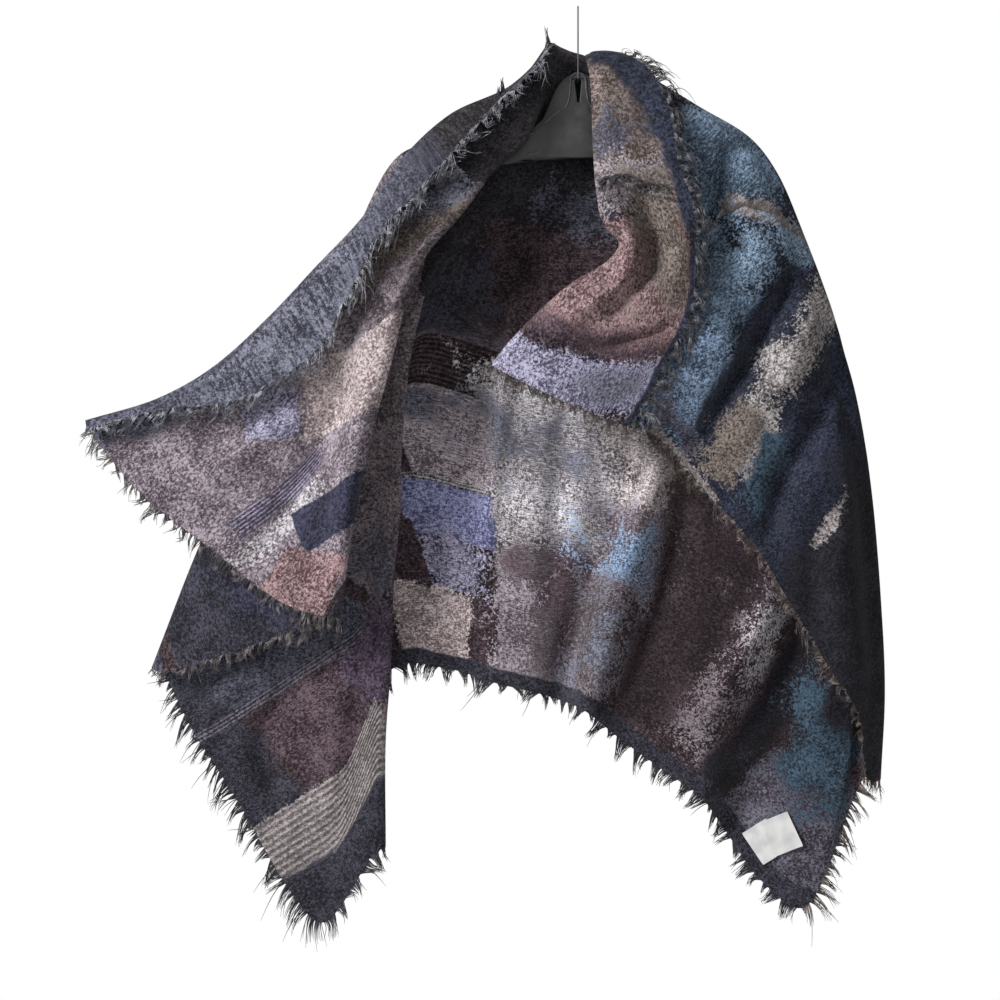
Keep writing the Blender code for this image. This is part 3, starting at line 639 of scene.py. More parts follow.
# Wools by name: the dark ground and the light fibre that mix in each, in linear colour
WOOLS = {
    "pitch": ((0.003, 0.003, 0.005), (0.03, 0.028, 0.039)),
    "black": ((0.008, 0.007, 0.009), (0.062, 0.056, 0.064)),
    "ink": ((0.006, 0.006, 0.01), (0.066, 0.064, 0.088)),
    "deep navy": ((0.005, 0.006, 0.012), (0.048, 0.057, 0.096)),
    "navy": ((0.008, 0.008, 0.018), (0.062, 0.063, 0.108)),
    "indigo": ((0.058, 0.059, 0.13), (0.46, 0.48, 0.77)),
    "slate": ((0.017, 0.017, 0.026), (0.148, 0.15, 0.2)),
    "dusk": ((0.021, 0.018, 0.027), (0.19, 0.174, 0.222)),
    "smoke": ((0.024, 0.025, 0.036), (0.232, 0.238, 0.305)),
    "steel blue": ((0.02, 0.031, 0.046), (0.19, 0.27, 0.38)),
    "denim": ((0.028, 0.041, 0.061), (0.28, 0.39, 0.53)),
    "bright blue": ((0.036, 0.048, 0.078), (0.36, 0.5, 0.72)),
    "teal": ((0.006, 0.01, 0.016), (0.064, 0.108, 0.158)),
    "lavender": ((0.048, 0.045, 0.075), (0.53, 0.505, 0.675)),
    "lilac": ((0.04, 0.034, 0.05), (0.33, 0.29, 0.4)),
    "mauve": ((0.052, 0.038, 0.05), (0.43, 0.37, 0.415)),
    "aubergine": ((0.017, 0.011, 0.02), (0.158, 0.115, 0.172)),
    "maroon": ((0.015, 0.008, 0.011), (0.15, 0.104, 0.126)),
    "dark maroon": ((0.009, 0.005, 0.006), (0.11, 0.076, 0.09)),
    # Partly painted shade: the maroon panel's own dark maroon, made darker for the shade of the deep fold
    # beside it.
    "damson in painted shade": ((0.005, 0.003, 0.004), (0.062, 0.042, 0.05)),
    "rose": ((0.056, 0.03, 0.032), (0.47, 0.32, 0.332)),
    "clay": ((0.046, 0.034, 0.031), (0.35, 0.275, 0.255)),
    "beige": ((0.13, 0.098, 0.102), (0.76, 0.645, 0.65)),
    "pale beige": ((0.15, 0.124, 0.126), (0.95, 0.85, 0.855)),
    "cream": ((0.055, 0.049, 0.05), (0.56, 0.515, 0.51)),
    "oat": ((0.095, 0.082, 0.083), (0.4, 0.355, 0.36)),
    "silver": ((0.092, 0.081, 0.09), (0.93, 0.885, 0.93)),
    "pale grey": ((0.06, 0.051, 0.057), (0.68, 0.64, 0.68)),
    "warm grey": ((0.094, 0.076, 0.086), (0.76, 0.65, 0.715)),
    "grey": ((0.055, 0.045, 0.052), (0.43, 0.375, 0.405)),
    "taupe": ((0.04, 0.031, 0.036), (0.3, 0.25, 0.275)),
    "olive brown": ((0.028, 0.022, 0.018), (0.24, 0.196, 0.176)),
}

# Patches of the felted patchwork, each over those before it. Middle, size and turn are on the flat
# cut, in metres and degrees; fade is the width of a broken edge and ribs are lines a metre.
Patch = namedtuple("Patch", "wool middle size turn fade ribs", defaults=(0, 0.0, 0))

# Some dark patches below are painted shade, or partly so: they darken the cloth where folds and the layers
# over it shade it, and each is marked.
PATCHWORK = [
    Patch("dark maroon", (0.66, 0.51), (1.42, 1.12)),
    Patch("taupe", (0.45, 0.3), (0.5, 0.6)),
    Patch("mauve", (0.12, 0.18), (0.42, 0.4)),
    Patch("slate", (0.3, 0.02), (0.72, 0.11), 4, 0.03),
    Patch("olive brown", (0.41, 0.05), (0.18, 0.1), -8, 0.04),
    Patch("black", (0.64, 0.03), (0.2, 0.16), 6, 0.02),
    Patch("pale grey", (0.56, 0.052), (0.12, 0.034), 12, 0.05),
    Patch("smoke", (0.5, 0.075), (0.08, 0.04), 24, 0.05),
    Patch("olive brown", (0.44, 0.1), (0.14, 0.035), 30, 0.04),
    Patch("smoke", (0.3, -0.022), (0.64, 0.055)),
    Patch("slate", (0.48, -0.022), (0.12, 0.055), 0, 0.12),
    Patch("ink", (0.6, -0.022), (0.12, 0.055), 0, 0.12),
    Patch("slate", (0.03, -0.022), (0.16, 0.055), 0, 0.12),
    Patch("beige", (0.275, 0.205), (0.17, 0.125), 40),
    Patch("lavender", (0.175, 0.135), (0.055, 0.07), 40),
    Patch("pale grey", (0.075, 0.262), (0.16, 0.022), 4, 0.02),
    Patch("lilac", (0.105, 0.232), (0.14, 0.03), 4, 0.012, 200),
    Patch("navy", (0.122, 0.312), (0.095, 0.062), 30),
    Patch("rose", (0.03, 0.335), (0.085, 0.08), -12),
    Patch("ink", (0.16, 0.5), (0.42, 0.225)),
    Patch("navy", (0.07, 0.49), (0.09, 0.06), 20, 0.06),
    Patch("taupe", (0.36, 0.58), (0.2, 0.24), -14),
    Patch("dusk", (0.33, 0.66), (0.07, 0.11), -14, 0.05),
    Patch("slate", (0.08, 0.68), (0.36, 0.115), -8),
    Patch("dark maroon", (0.05, 0.83), (0.24, 0.16), -14, 0.02),
    Patch("maroon", (0.155, 0.805), (0.15, 0.13), -14),
    Patch("aubergine", (0.265, 0.775), (0.11, 0.15), -14, 0.04),
    Patch("ink", (0.02, 0.8), (0.085, 0.2), -16, 0.03),
    Patch("dusk", (0.13, 0.727), (0.34, 0.013), -12, 0.0, 230),
    Patch("oat", (0.12, 0.908), (0.27, 0.108), -12, 0.006, 130),
    Patch("taupe", (0.3, 0.895), (0.12, 0.09), 8),
    Patch("ink", (0.1, 0.988), (0.4, 0.09), -2, 0.012),
    Patch("teal", (0.42, 0.86), (0.13, 0.2), 0, 0.03),
    Patch("maroon", (0.44, 0.7), (0.12, 0.12), 0, 0.0, 150),
    # Partly painted shade: black wool over the back's upper inside, where the cloth is dark and also lies in
    # deep shadow.
    Patch("black", (0.68, 0.2), (0.26, 0.42)),
    Patch("dark maroon", (0.73, 0.38), (0.16, 0.2), 0, 0.06),
    Patch("slate", (0.76, 0.25), (0.07, 0.06), 20, 0.05),
    Patch("ink", (0.64, 0.42), (0.08, 0.14), 0, 0.05),
    Patch("dark maroon", (0.645, 0.545), (0.085, 0.085), 0, 0.0, 130),
    Patch("warm grey", (0.64, 0.655), (0.095, 0.14)),
    Patch("smoke", (0.615, 0.61), (0.035, 0.04), 30, 0.04),
    Patch("pale grey", (0.632, 0.728), (0.095, 0.01), 0, 0.004, 200),
    Patch("indigo", (0.618, 0.775), (0.095, 0.085)),
    Patch("lavender", (0.608, 0.855), (0.085, 0.08), 0, 0.05),
    Patch("maroon", (0.545, 0.845), (0.06, 0.1)),
    Patch("beige", (0.57, 0.95), (0.1, 0.11), 5, 0.012),
    Patch("grey", (0.745, 0.8), (0.17, 0.48), 0, 0.02),
    Patch("silver", (0.726, 0.665), (0.124, 0.27), 0, 0.04),
    Patch("smoke", (0.7, 0.64), (0.055, 0.06), 0, 0.12),
    Patch("maroon", (0.742, 0.88), (0.085, 0.185), 0, 0.12),
    Patch("mauve", (0.683, 0.93), (0.05, 0.14), 0, 0.04),
    Patch("pale beige", (0.815, 0.65), (0.085, 0.13), -10, 0.04),
    Patch("olive brown", (0.87, 0.64), (0.06, 0.13), -10, 0.06),
    Patch("mauve", (0.815, 0.78), (0.1, 0.15), -10, 0.05),
    Patch("bright blue", (0.815, 0.79), (0.06, 0.08), -10, 0.13),
    Patch("taupe", (0.806, 0.915), (0.085, 0.18), -6, 0.04),
    Patch("smoke", (0.812, 0.905), (0.04, 0.09), -6, 0.13),
    Patch("maroon", (0.95, 0.79), (0.15, 0.32), -8, 0.06),
    # Partly painted shade: this and the two darkest maroon patches below darken the maroon panel for the deep
    # fold's shade, over its own dark maroon.
    Patch("damson in painted shade", (0.905, 0.81), (0.06, 0.34), -8, 0.08),
    Patch("olive brown", (0.93, 0.84), (0.022, 0.22), -8, 0.11),
    Patch("damson in painted shade", (0.952, 0.8), (0.085, 0.22), -4, 0.08),
    Patch("mauve", (1.01, 0.84), (0.024, 0.24), 4, 0.11),
    Patch("pale grey", (1.016, 0.835), (0.01, 0.15), 4, 0.08),
    Patch("taupe", (0.99, 0.93), (0.034, 0.09), 10, 0.12),
    Patch("damson in painted shade", (0.928, 0.89), (0.055, 0.15), -6, 0.08),
    # Painted shadow: a near-black strip down the deep valley between the maroon panel and the corner, where
    # the fold's shade falls.
    Patch("pitch", (1.082, 0.86), (0.064, 0.36), 0, 0.05),
    Patch("dusk", (1.24, 0.955), (0.27, 0.15), 0, 0.03),
    Patch("teal", (1.2, 0.85), (0.18, 0.125), 0, 0.08),
    Patch("ink", (0.66, 1.012), (1.4, 0.03), 0, 0.004),
    Patch("clay", (0.9, 0.02), (0.2, 0.12)),
    Patch("slate", (0.944, 0.034), (0.03, 0.035), 30, 0.09),
    Patch("deep navy", (1.14, 0.33), (0.5, 0.54)),
    Patch("denim", (0.905, 0.14), (0.1, 0.11), 12, 0.04),
    Patch("steel blue", (0.945, 0.175), (0.1, 0.13), 12, 0.05),
    Patch("oat", (0.974, 0.262), (0.016, 0.13), -8, 0.01),
    # Partly painted shade: a dark strip along the lapel's edge, for the shadow under the lapel and its fringe
    # as well as a dark border.
    Patch("ink", (1.068, 0.168), (0.52, 0.06), 28, 0.012),
    Patch("denim", (1.06, 0.262), (0.15, 0.11), 12, 0.06),
    Patch("steel blue", (1.1, 0.3), (0.13, 0.07), 12, 0.06),
    Patch("bright blue", (1.225, 0.325), (0.19, 0.12), 8, 0.03),
    Patch("dusk", (1.29, 0.37), (0.04, 0.06), 8, 0.05),
    # Partly painted shade: a deep navy strip beside the cream patch, along the right front's diagonal fold
    # where its shadow falls.
    Patch("deep navy", (1.13, 0.352), (0.27, 0.034), 18, 0.012),
    Patch("cream", (1.135, 0.392), (0.28, 0.032), 18, 0.022),
    Patch("olive brown", (1.235, 0.418), (0.12, 0.034), 18, 0.04),
    Patch("cream", (1.17, 0.424), (0.2, 0.009), 20, 0.016),
    Patch("teal", (1.23, 0.47), (0.12, 0.04), 20, 0.03),
    Patch("deep navy", (1.2, 0.53), (0.3, 0.11), 18),
    Patch("pitch", (1.24, 0.65), (0.34, 0.2), 18, 0.08),
    Patch("oat", (1.2, 0.54), (0.075, 0.008), 22, 0.012),
    Patch("pitch", (1.26, 0.76), (0.2, 0.13), 0, 0.03),
    Patch("oat", (1.314, 0.405), (0.012, 0.11), 0, 0.008),
    Patch("grey", (1.02, 0.04), (0.064, 0.12), 0, 0.05),
    Patch("olive brown", (1.05, 0.018), (0.07, 0.05), 0, 0.06),
    Patch("rose", (1.155, 0.085), (0.205, 0.18), 0, 0.03),
    # Partly painted shade: darker olive brown over the lapel's right part, for the fold's shade on its own
    # brownish cloth.
    Patch("olive brown", (1.095, 0.026), (0.15, 0.046), 0, 0.05),
    # Painted shade: maroon between the rose and the lavender hem, for the rose cloth darkened in the lapel's
    # lower fold.
    Patch("maroon", (1.242, 0.08), (0.04, 0.18), -14, 0.05),
    Patch("lavender", (1.292, 0.08), (0.076, 0.2), -16, 0.02),
    Patch("smoke", (1.285, 0.045), (0.04, 0.03), -16, 0.09),
    Patch("deep navy", (1.08, -0.004), (0.52, 0.024), 0, 0.006),
]
SEAM_WOBBLE = 0.004
SEAM_SOFTNESS = 0.0012
FADE_SOFTNESS = 0.12
FADE_REACH = 0.6
BROKEN_CONTRAST = 2.2
FIBRE_SHOWS = (0.43, 0.62)
RIB_SHADE = 0.045
RIB_HEIGHT = 0.30
FELT_RELIEF = 0.0026
# Felt's unevenness: scale, detail and roughness of its curls, its grain, its clouds and its threads
CURLS = (300.0, 3.0, 0.65)
CURL_TWIST = 0.8
GRAIN = (900.0, 2.0, 0.6)
CLOUDS = (24.0, 3.0, 0.6)
THREADS = (1.0, 2.0, 0.6)
THREAD_SCALE = (190.0, 560.0, 1.0)
THREAD_TURN = 0.5
WOBBLES = (38.0, 2.0)
# Plain finishes: their two colours, in linear colour, and how deep their relief is, in metres
PLASTIC_COLOURS = (0.016, 0.017, 0.016), (0.036, 0.038, 0.035)
# Painted highlight: the beads' two colours are lighter than the plastic, for the light that the hanger's
# raised rim catches.
BEAD_HIGHLIGHT_COLOURS = (0.035, 0.036, 0.034), (0.110, 0.112, 0.108)
WIRE_COLOURS = (0.050, 0.051, 0.054), (0.090, 0.091, 0.095)
TAPE_COLOURS = (0.54, 0.54, 0.53), (0.40, 0.40, 0.41)
FLOOR_COLOURS = (0.86, 0.86, 0.86), (0.90, 0.90, 0.90)
FINE_RELIEF = 0.0001
TAPE_RELIEF = 0.0002
YARN_RELIEF = 0.0003


def patch_mask(finish, where, patch, wobble, broken):
    """One inside a patch and zero outside it, with a slightly uneven felted edge."""
    s, t = patch.middle
    turn = math.radians(patch.turn)
    local = finish.node("ShaderNodeMapping", {"vector_type": "TEXTURE"},
                        {"Vector": where, "Location": (s, t, 0.0), "Rotation": (0.0, 0.0, turn)})
    across, down = finish.parts(local)[:2]
    inside = (patch.size[0] / 2 - across.size()).least(patch.size[1] / 2 - down.size()) + wobble
    if patch.fade:
        inside = inside + broken * patch.fade
    softness = SEAM_SOFTNESS + patch.fade * FADE_SOFTNESS
    return inside.between(-softness, softness), down


def reaches(patch, cut):
    """Whether a patch comes near a stretch of the flat cut."""
    turn = math.radians(patch.turn)
    away = cut.reshape(-1, 2) - patch.middle
    across = np.abs(away[:, 0] * math.cos(turn) + away[:, 1] * math.sin(turn))
    down = np.abs(away[:, 1] * math.cos(turn) - away[:, 0] * math.sin(turn))
    spare = SEAM_WOBBLE + patch.fade * FADE_REACH
    return bool(np.any((across < patch.size[0] / 2 + spare) & (down < patch.size[1] / 2 + spare)))


def felt_finish(stretch, cut):
    """Fulled wool of two mixed colours in each patch, with fine fibres, curls and seams; some patches are
    painted shade.
    """
    finish = Finish("felt_" + stretch, roughness=0.95, sheen_weight=0.06, sheen_roughness=0.6,
                    specular_ior_level=0.15)
    where = finish.node("ShaderNodeAttribute", {"attribute_name": "cut"}, output=ATTRIBUTE_VECTOR)
    space = finish.places()
    curls = finish.noise(space, *CURLS, Distortion=CURL_TWIST)
    grain = finish.noise(space, *GRAIN)
    cloud = finish.noise(space, *CLOUDS)
    thread = finish.noise(finish.stretched(where, THREAD_SCALE, THREAD_TURN), *THREADS)
    broken = (curls + cloud - 1.0) * BROKEN_CONTRAST
    wobble = (finish.noise(where, *WOBBLES) - 0.5) * SEAM_WOBBLE * 2
    ground, fibre = WOOLS["black"]
    ribs = None
    for patch in PATCHWORK:
        if not reaches(patch, cut):
            continue
        mask, down = patch_mask(finish, where, patch, wobble, broken)
        ground = finish.blend(mask, ground, WOOLS[patch.wool][0])
        fibre = finish.blend(mask, fibre, WOOLS[patch.wool][1])
        if ribs is not None:
            ribs = ribs * (1 - mask)
        if patch.ribs:
            line = mask * (down * (2 * math.pi * patch.ribs)).sine()
            ribs = line if ribs is None else ribs + line
    mixed = curls * 0.50 + grain * 0.22 + thread * 0.28 + (cloud - 0.5) * 0.22
    height = curls * 0.6 + grain * 0.25 + thread * 0.25
    if ribs is not None:
        mixed = mixed + ribs * RIB_SHADE
        height = height + ribs * RIB_HEIGHT
    colour = finish.blend(mixed.between(*FIBRE_SHOWS), ground, fibre)
    return finish.surface(colour, height, FELT_RELIEF)


def yarn_finish(name):
    dark, light = YARNS[name]
    finish = Finish(name.replace(" ", "_"), roughness=0.85, sheen_weight=0.2)
    space = finish.places()
    lock = finish.noise(space, 120.0, 2.0)
    twist = finish.noise(space, 1500.0, 1.0)
    colour = finish.blend((lock * 0.7 + twist * 0.3).between(0.44, 0.72), dark, light)
    return finish.surface(colour, twist, YARN_RELIEF)


def cut_places(sheet, place):
    """Where each point of the sheet lies on the flat cut, in metres from the left end's top corner."""
    count = len(sheet)
    edge = reach_along(sheet[:, -1])
    corners = [0, place["left end corner"], place["right end corner"], count - 1]
    marks = [0.0, CUT_LENGTH, CUT_LENGTH + CUT_WIDTH, 2 * CUT_LENGTH + CUT_WIDTH]
    along = np.interp(edge, edge[corners], marks)
    ends = np.stack([np.clip(along - CUT_LENGTH, 0.0, CUT_WIDTH),
                     np.minimum(np.minimum(along, CUT_LENGTH), marks[3] - along)], axis=1)
    neck = reach_along(sheet[:, 0])
    starts = np.stack([np.interp(neck, [0.0, neck[-1]], CUT_NECK), np.zeros(count)], axis=1)
    share = np.linspace(0.0, 1.0, sheet.shape[1])[None, :, None]
    return starts[:, None] * (1.0 - share) + ends[:, None] * share


def crease_lift(crease, points):
    """How far each point moves towards the viewer for one crease."""
    path = np.array(crease.path, dtype=float)
    flat = points[..., [0, 2]]
    nearest = np.full(flat.shape[:-1], np.inf)
    share = np.zeros(flat.shape[:-1])
    for i, (start, end) in enumerate(zip(path, path[1:])):
        step = end - start
        along = np.clip(((flat - start) @ step) / (step @ step), 0.0, 1.0)
        distance = np.linalg.norm(flat - start - along[..., None] * step, axis=-1)
        closer = distance < nearest
        nearest = np.where(closer, distance, nearest)
        share = np.where(closer, (i + along) / (len(path) - 1), share)
    taper = np.sin(np.pi * np.clip(share, 0.0, 1.0)) ** CREASE_TAPER
    return crease.depth * taper * np.exp(-(nearest / crease.width) ** 2)


def undulation(points):
    """A slight unevenness all over, as thick felt has, in millimetres."""
    rng = np.random.default_rng(UNDULATION_SEED)
    lift = np.zeros(points.shape[:-1])
    for wave in np.linspace(*UNDULATION_WAVES, UNDULATION_COUNT):
        way = unit(rng.normal(size=3))
        lift += np.sin(points @ way * (2 * np.pi / wave) + rng.uniform(0, FULL_TURN))
    return UNDULATION * lift / math.sqrt(UNDULATION_COUNT)


def wall_half(rows):
    grown = smooth_step(np.linspace(0.0, 1.0, rows) / NECK_GATHER)
    return (WALL_AT_NECK + (WALL - WALL_AT_NECK) * grown) / 2


def finish_mesh(name, mesh, finish, sharp=SHARP_CLOTH):
    """A mesh as an object at the origin that rides with the shawl, smooth but for its sharp edges."""
    mesh.polygons.foreach_set("use_smooth", [True] * len(mesh.polygons))
    mesh.set_sharp_from_angle(angle=math.radians(sharp))
    mesh.materials.clear()
    mesh.materials.append(finish)
    made = bpy.data.objects.new(name, mesh)
    bpy.context.scene.collection.objects.link(made)
    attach(made, "root")
    return made


def mesh_of(bm, name):
    mesh = bpy.data.meshes.new(name)
    bm.to_mesh(mesh)
    bm.free()
    return mesh


def cloth_wall(name, middle, facing, cut, finish):
    """A closed wall of cloth round the middle surface, with its place on the flat cut kept."""
    bm = bmesh.new()
    half = wall_half(middle.shape[1])[None, :, None]
    columns, rows = middle.shape[:2]
    places = []
    for side in (-1.0, 1.0):
        points = middle + facing * half * side
        made = bmesh.ops.create_grid(bm, x_segments=columns - 1, y_segments=rows - 1, size=1.0)["verts"]
        for vert in made:
            i = round((vert.co.x + 1.0) / 2.0 * (columns - 1))
            k = round((vert.co.y + 1.0) / 2.0 * (rows - 1))
            vert.co = Vector(points[i, k]) * MM
            places.append((*cut[i, k], side))
    bmesh.ops.bridge_loops(bm, edges=[edge for edge in bm.edges if edge.is_boundary])
    bmesh.ops.recalc_face_normals(bm, faces=bm.faces)
    made = finish_mesh(name, mesh_of(bm, name), finish)
    layer = made.data.attributes.new("cut", "FLOAT_VECTOR", "POINT")
    layer.data.foreach_set("vector", np.array(places, dtype=np.float32).ravel())
    return made


def gather_locks(edge, length):
    """The yarn's locks along an edge: unequal widths, and the reach, lean and curl that each shares."""
    rng = random.Random(edge.name)
    locks = []
    where = edge.margins[0]
    while where < length - edge.margins[1]:
        width = rng.uniform(*edge.locks)
        worn = rng.random() < WORN_SHARE
        locks.append({
            "start": where,
            "end": min(where + width, length - edge.margins[1]),
            "tip": where + width * rng.uniform(*LOCK_TIP),
            "length": (edge.length * rng.uniform(*LOCK_LENGTH) * (0.75 + width / 40)
                       * (WORN_LENGTH if worn else 1.0)),
            "swing": rng.uniform(*LOCK_SWING),
            "phase": rng.uniform(0.0, FULL_TURN),
            "turns": rng.uniform(*LOCK_TURNS) * edge.curl,
            "width": rng.uniform(*LOCK_WIDTH) * edge.curl,
            "rise": rng.uniform(*LOCK_RISE),
            "droop": rng.uniform(*LOCK_DROOP),
            "closing": rng.uniform(*LOCK_CLOSING),
        })
        where += width
    return locks


def strand_points(root, out, along, facing, lock, offset, length, stray, rng):
    """One curling strand: it grows outwards, closes in on its lock's tip, droops and winds."""
    phase = lock["phase"] + rng.uniform(-0.5, 0.5) * (1 + STRAY_SPREAD * stray)
    lean = lock["swing"] + rng.uniform(*STRAND_SWING) * (1 + STRAY_SPREAD * stray)
    width = lock["width"] * rng.uniform(*STRAND_WIDTH)
    turns = lock["turns"] * rng.uniform(*STRAND_TURNS)
    points = []
    for step in range(STRAND_STEPS):
        share = step / (STRAND_STEPS - 1)
        wind = FULL_TURN * turns * share + phase
        aside = offset * lock["closing"] * share ** 0.8 + length * lean * share ** 1.6
        aside += width * share * (math.sin(wind) - math.sin(phase))
        lift = lock["rise"] * share + width * 0.5 * share * math.cos(wind)
        point = root + out * length * share * (1 - 0.14 * turns * share) + along * aside
        points.append(point + facing * lift - np.array([0.0, 0.0, length * lock["droop"] * share ** 2]))
    return points


def draw_tubes(name, lines, width_at, radius, roundness, finish, sharp):
    """Lines of points in millimetres as one mesh of tubes, as wide along each as width_at says."""
    curve = bpy.data.curves.new(name, "CURVE")
    curve.dimensions = "3D"
    curve.bevel_depth = radius * MM
    curve.bevel_resolution = roundness
    curve.use_fill_caps = True
    for line in lines:
        spline = curve.splines.new("POLY")
        spline.points.add(len(line) - 1)
        for i, point in enumerate(line):
            spline.points[i].co = (*(point * MM), 1.0)
            spline.points[i].radius = width_at(i / (len(line) - 1))
    drawn = bpy.data.objects.new(name, curve)
    bpy.context.scene.collection.objects.link(drawn)
    deps = bpy.context.evaluated_depsgraph_get()
    mesh = bpy.data.meshes.new_from_object(drawn.evaluated_get(deps))
    bpy.data.objects.remove(drawn, do_unlink=True)
    return finish_mesh(name, mesh, finish, sharp)


def strand_width(share):
    start, narrowing, power = STRAND_TAPER
    return start - narrowing * share ** power


def draw_strands(name, strands, radius, finish):
    return draw_tubes(name, strands, strand_width, radius, 0, finish, SHARP_YARN)


def make_fringe(edge, points, facing, inside, finish):
    """Loose yarn ends along one stretch of edge, gathered into pointed locks with a few strays."""
    rng = random.Random(edge.name + " strands")
    along = directions(points[None], 1)[0]
    out = unit(np.cross(along, facing))
    out *= np.sign((out * unit(points - inside)).sum(axis=1, keepdims=True))
    if edge.first == edge.last:
        out[:, 1] = np.clip(out[:, 1], -FLATTEST_RISE, FLATTEST_RISE)
        out = unit(out)
        facing = unit(facing * np.sign(-facing[:, 1:2]) * 0.3 + np.array([0.0, -1.0, 0.0]))
    reach = reach_along(points)

    def read(values, where):
        return np.array([np.interp(where, reach, values[:, axis]) for axis in range(3)])

    strands = []
    for lock in gather_locks(edge, reach[-1]):
        for where in np.arange(lock["start"], lock["end"], STRAND_PITCH):
            out_here, along_here, facing_here = [unit(read(values, where)) for values in (out, along, facing)]
            viewer = -math.copysign(1.0, facing_here[1])
            stray = rng.random() < edge.strays
            offset = lock["tip"] - where
            length = lock["length"] * rng.uniform(*STRAND_LENGTH) * (1.0 - 0.02 * abs(offset))
            length *= rng.uniform(*STRAY_LENGTH) if stray else 1.0
            root = read(points, where) - out_here * STRAND_ROOT + facing_here * rng.uniform(*STRAND_START)
            rise = EDGE_RISE if edge.first == edge.last else 1.0
            strands.append(strand_points(root, out_here, along_here, facing_here * viewer * rise, lock,
                                         offset, length, stray, rng))
    return draw_strands("yarn_" + edge.name, strands, STRAND_RADIUS, finish)


def on_cloth(points, faces, path, spacing):
    """Points on a stretch's front along a path in x and z, and the way that the cloth faces there."""
    points, faces = points.reshape(-1, 3), faces.reshape(-1, 3)
    line = np.array(path, dtype=float)
    reach = reach_along(line)
    steps = np.linspace(0.0, reach[-1], round(reach[-1] / spacing))
    found = []
    for x, z in zip(np.interp(steps, reach, line[:, 0]), np.interp(steps, reach, line[:, 1])):
        away = np.hypot(points[:, 0] - x, points[:, 2] - z)
        near = np.argsort(away + FRONT_FIRST * points[:, 1])[:NEAREST]
        share = 1.0 / (away[near] + 1.0) ** 2
        share /= share.sum()
        facing = share @ (faces[near] * -np.sign(faces[near][:, 1:2]))
        found.append([(x, share @ points[near][:, 1], z), unit(facing)])
    spots = np.array([spot for spot, _ in found])
    even = np.ones(2 * EVENED + 1) / (2 * EVENED + 1)
    spots[:, 1] = np.convolve(np.pad(spots[:, 1], EVENED, mode="edge"), even, mode="valid")
    return spots, np.array([facing for _, facing in found])


def make_seam(name, seam, points, faces, finish):
    """A frayed seam: short yarn ends along a path on the cloth, all lying one way."""
    rng = random.Random(name)
    spots, facing = on_cloth(points, faces, seam.path, SEAM_PITCH)
    lie = np.array([seam.lie[0], 0.0, seam.lie[1]])
    along = directions(spots[None], 1)[0]
    strands = []
    for spot, way, side in zip(spots, facing, along):
        length = seam.length * rng.uniform(*SEAM_LENGTH)
        lean = rng.uniform(-0.5, 0.5)
        bow = rng.uniform(-0.25, 0.25)
        out = lie - way * (lie @ way)
        strands.append([spot + way * (SEAM_LIFT + 1.8 * math.sin(math.pi * 0.8 * share))
                        + out * length * (share - 0.25) + side * length * share * (lean + bow * share)
                        for share in np.linspace(0.0, 1.0, SEAM_STEPS)])
    return draw_strands(name, strands, STRAND_RADIUS, finish)


def make_loops(name, points, faces, finish):
    """One yarn stitched along the lapel in a row of flat loops."""
    spots, facing = on_cloth(points, faces, LOOP_PATH, LOOP_PITCH)
    along = directions(spots[None], 1)[0]
    strand = []
    for spot, way, side, where in zip(spots, facing, along, reach_along(spots)):
        turn = 2 * math.pi * where / LOOP_LENGTH
        up = np.cross(side, way)
        strand.append(spot + side * LOOP_SIZE[0] * math.cos(turn) + up * LOOP_SIZE[1] * math.sin(turn)
                      + way * (SEAM_LIFT + LOOP_LIFT + 0.6 * math.sin(turn * 2)))
    return draw_strands(name, [strand], LOOP_RADIUS, finish)


def make_tufts(name, front, finish):
    """Small tufts of yarn that stand up from the neck's edge."""
    rng = random.Random(name)
    strands = []
    for x, z, lean, length in TUFTS:
        y = front[np.argmin(np.hypot(front[:, 0] - x, front[:, 2] - z)), 1]
        for _ in range(TUFT_STRANDS):
            reach = length * rng.uniform(*TUFT_LENGTH)
            start = np.array([x + rng.uniform(-3, 3), y + rng.uniform(-1, 1), z - TUFT_FOOT])
            bend = rng.uniform(-0.15, 0.15)
            strands.append([start + np.array([reach * (lean + bend * share) * share - (start[0] - x) * share,
                                              0.0, (reach + TUFT_FOOT) * share])
                            for share in np.linspace(0.0, 1.0, SEAM_STEPS)])
    return draw_strands(name, strands, STRAND_RADIUS, finish)


def make_hanger(finish):
    """The hanger's own solid with its edges rounded, as a moulding has them."""
    bm = bmesh.new()
    bm.from_mesh(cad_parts["hanger"].data)
    bmesh.ops.remove_doubles(bm, verts=bm.verts, dist=1e-6)
    bmesh.ops.dissolve_limit(bm, angle_limit=MOULD_FLAT, verts=bm.verts, edges=bm.edges)
    edges = [edge for edge in bm.edges if edge.calc_face_angle(0.0) > MOULD_EDGE]
    bmesh.ops.bevel(bm, geom=edges, offset=MOULD_ROUND * MM, segments=3, profile=0.5, affect="EDGES",
                    material=-1)
    return finish_mesh("moulded_hanger", mesh_of(bm, "moulded_hanger"), finish, SHARP_MOULDED)


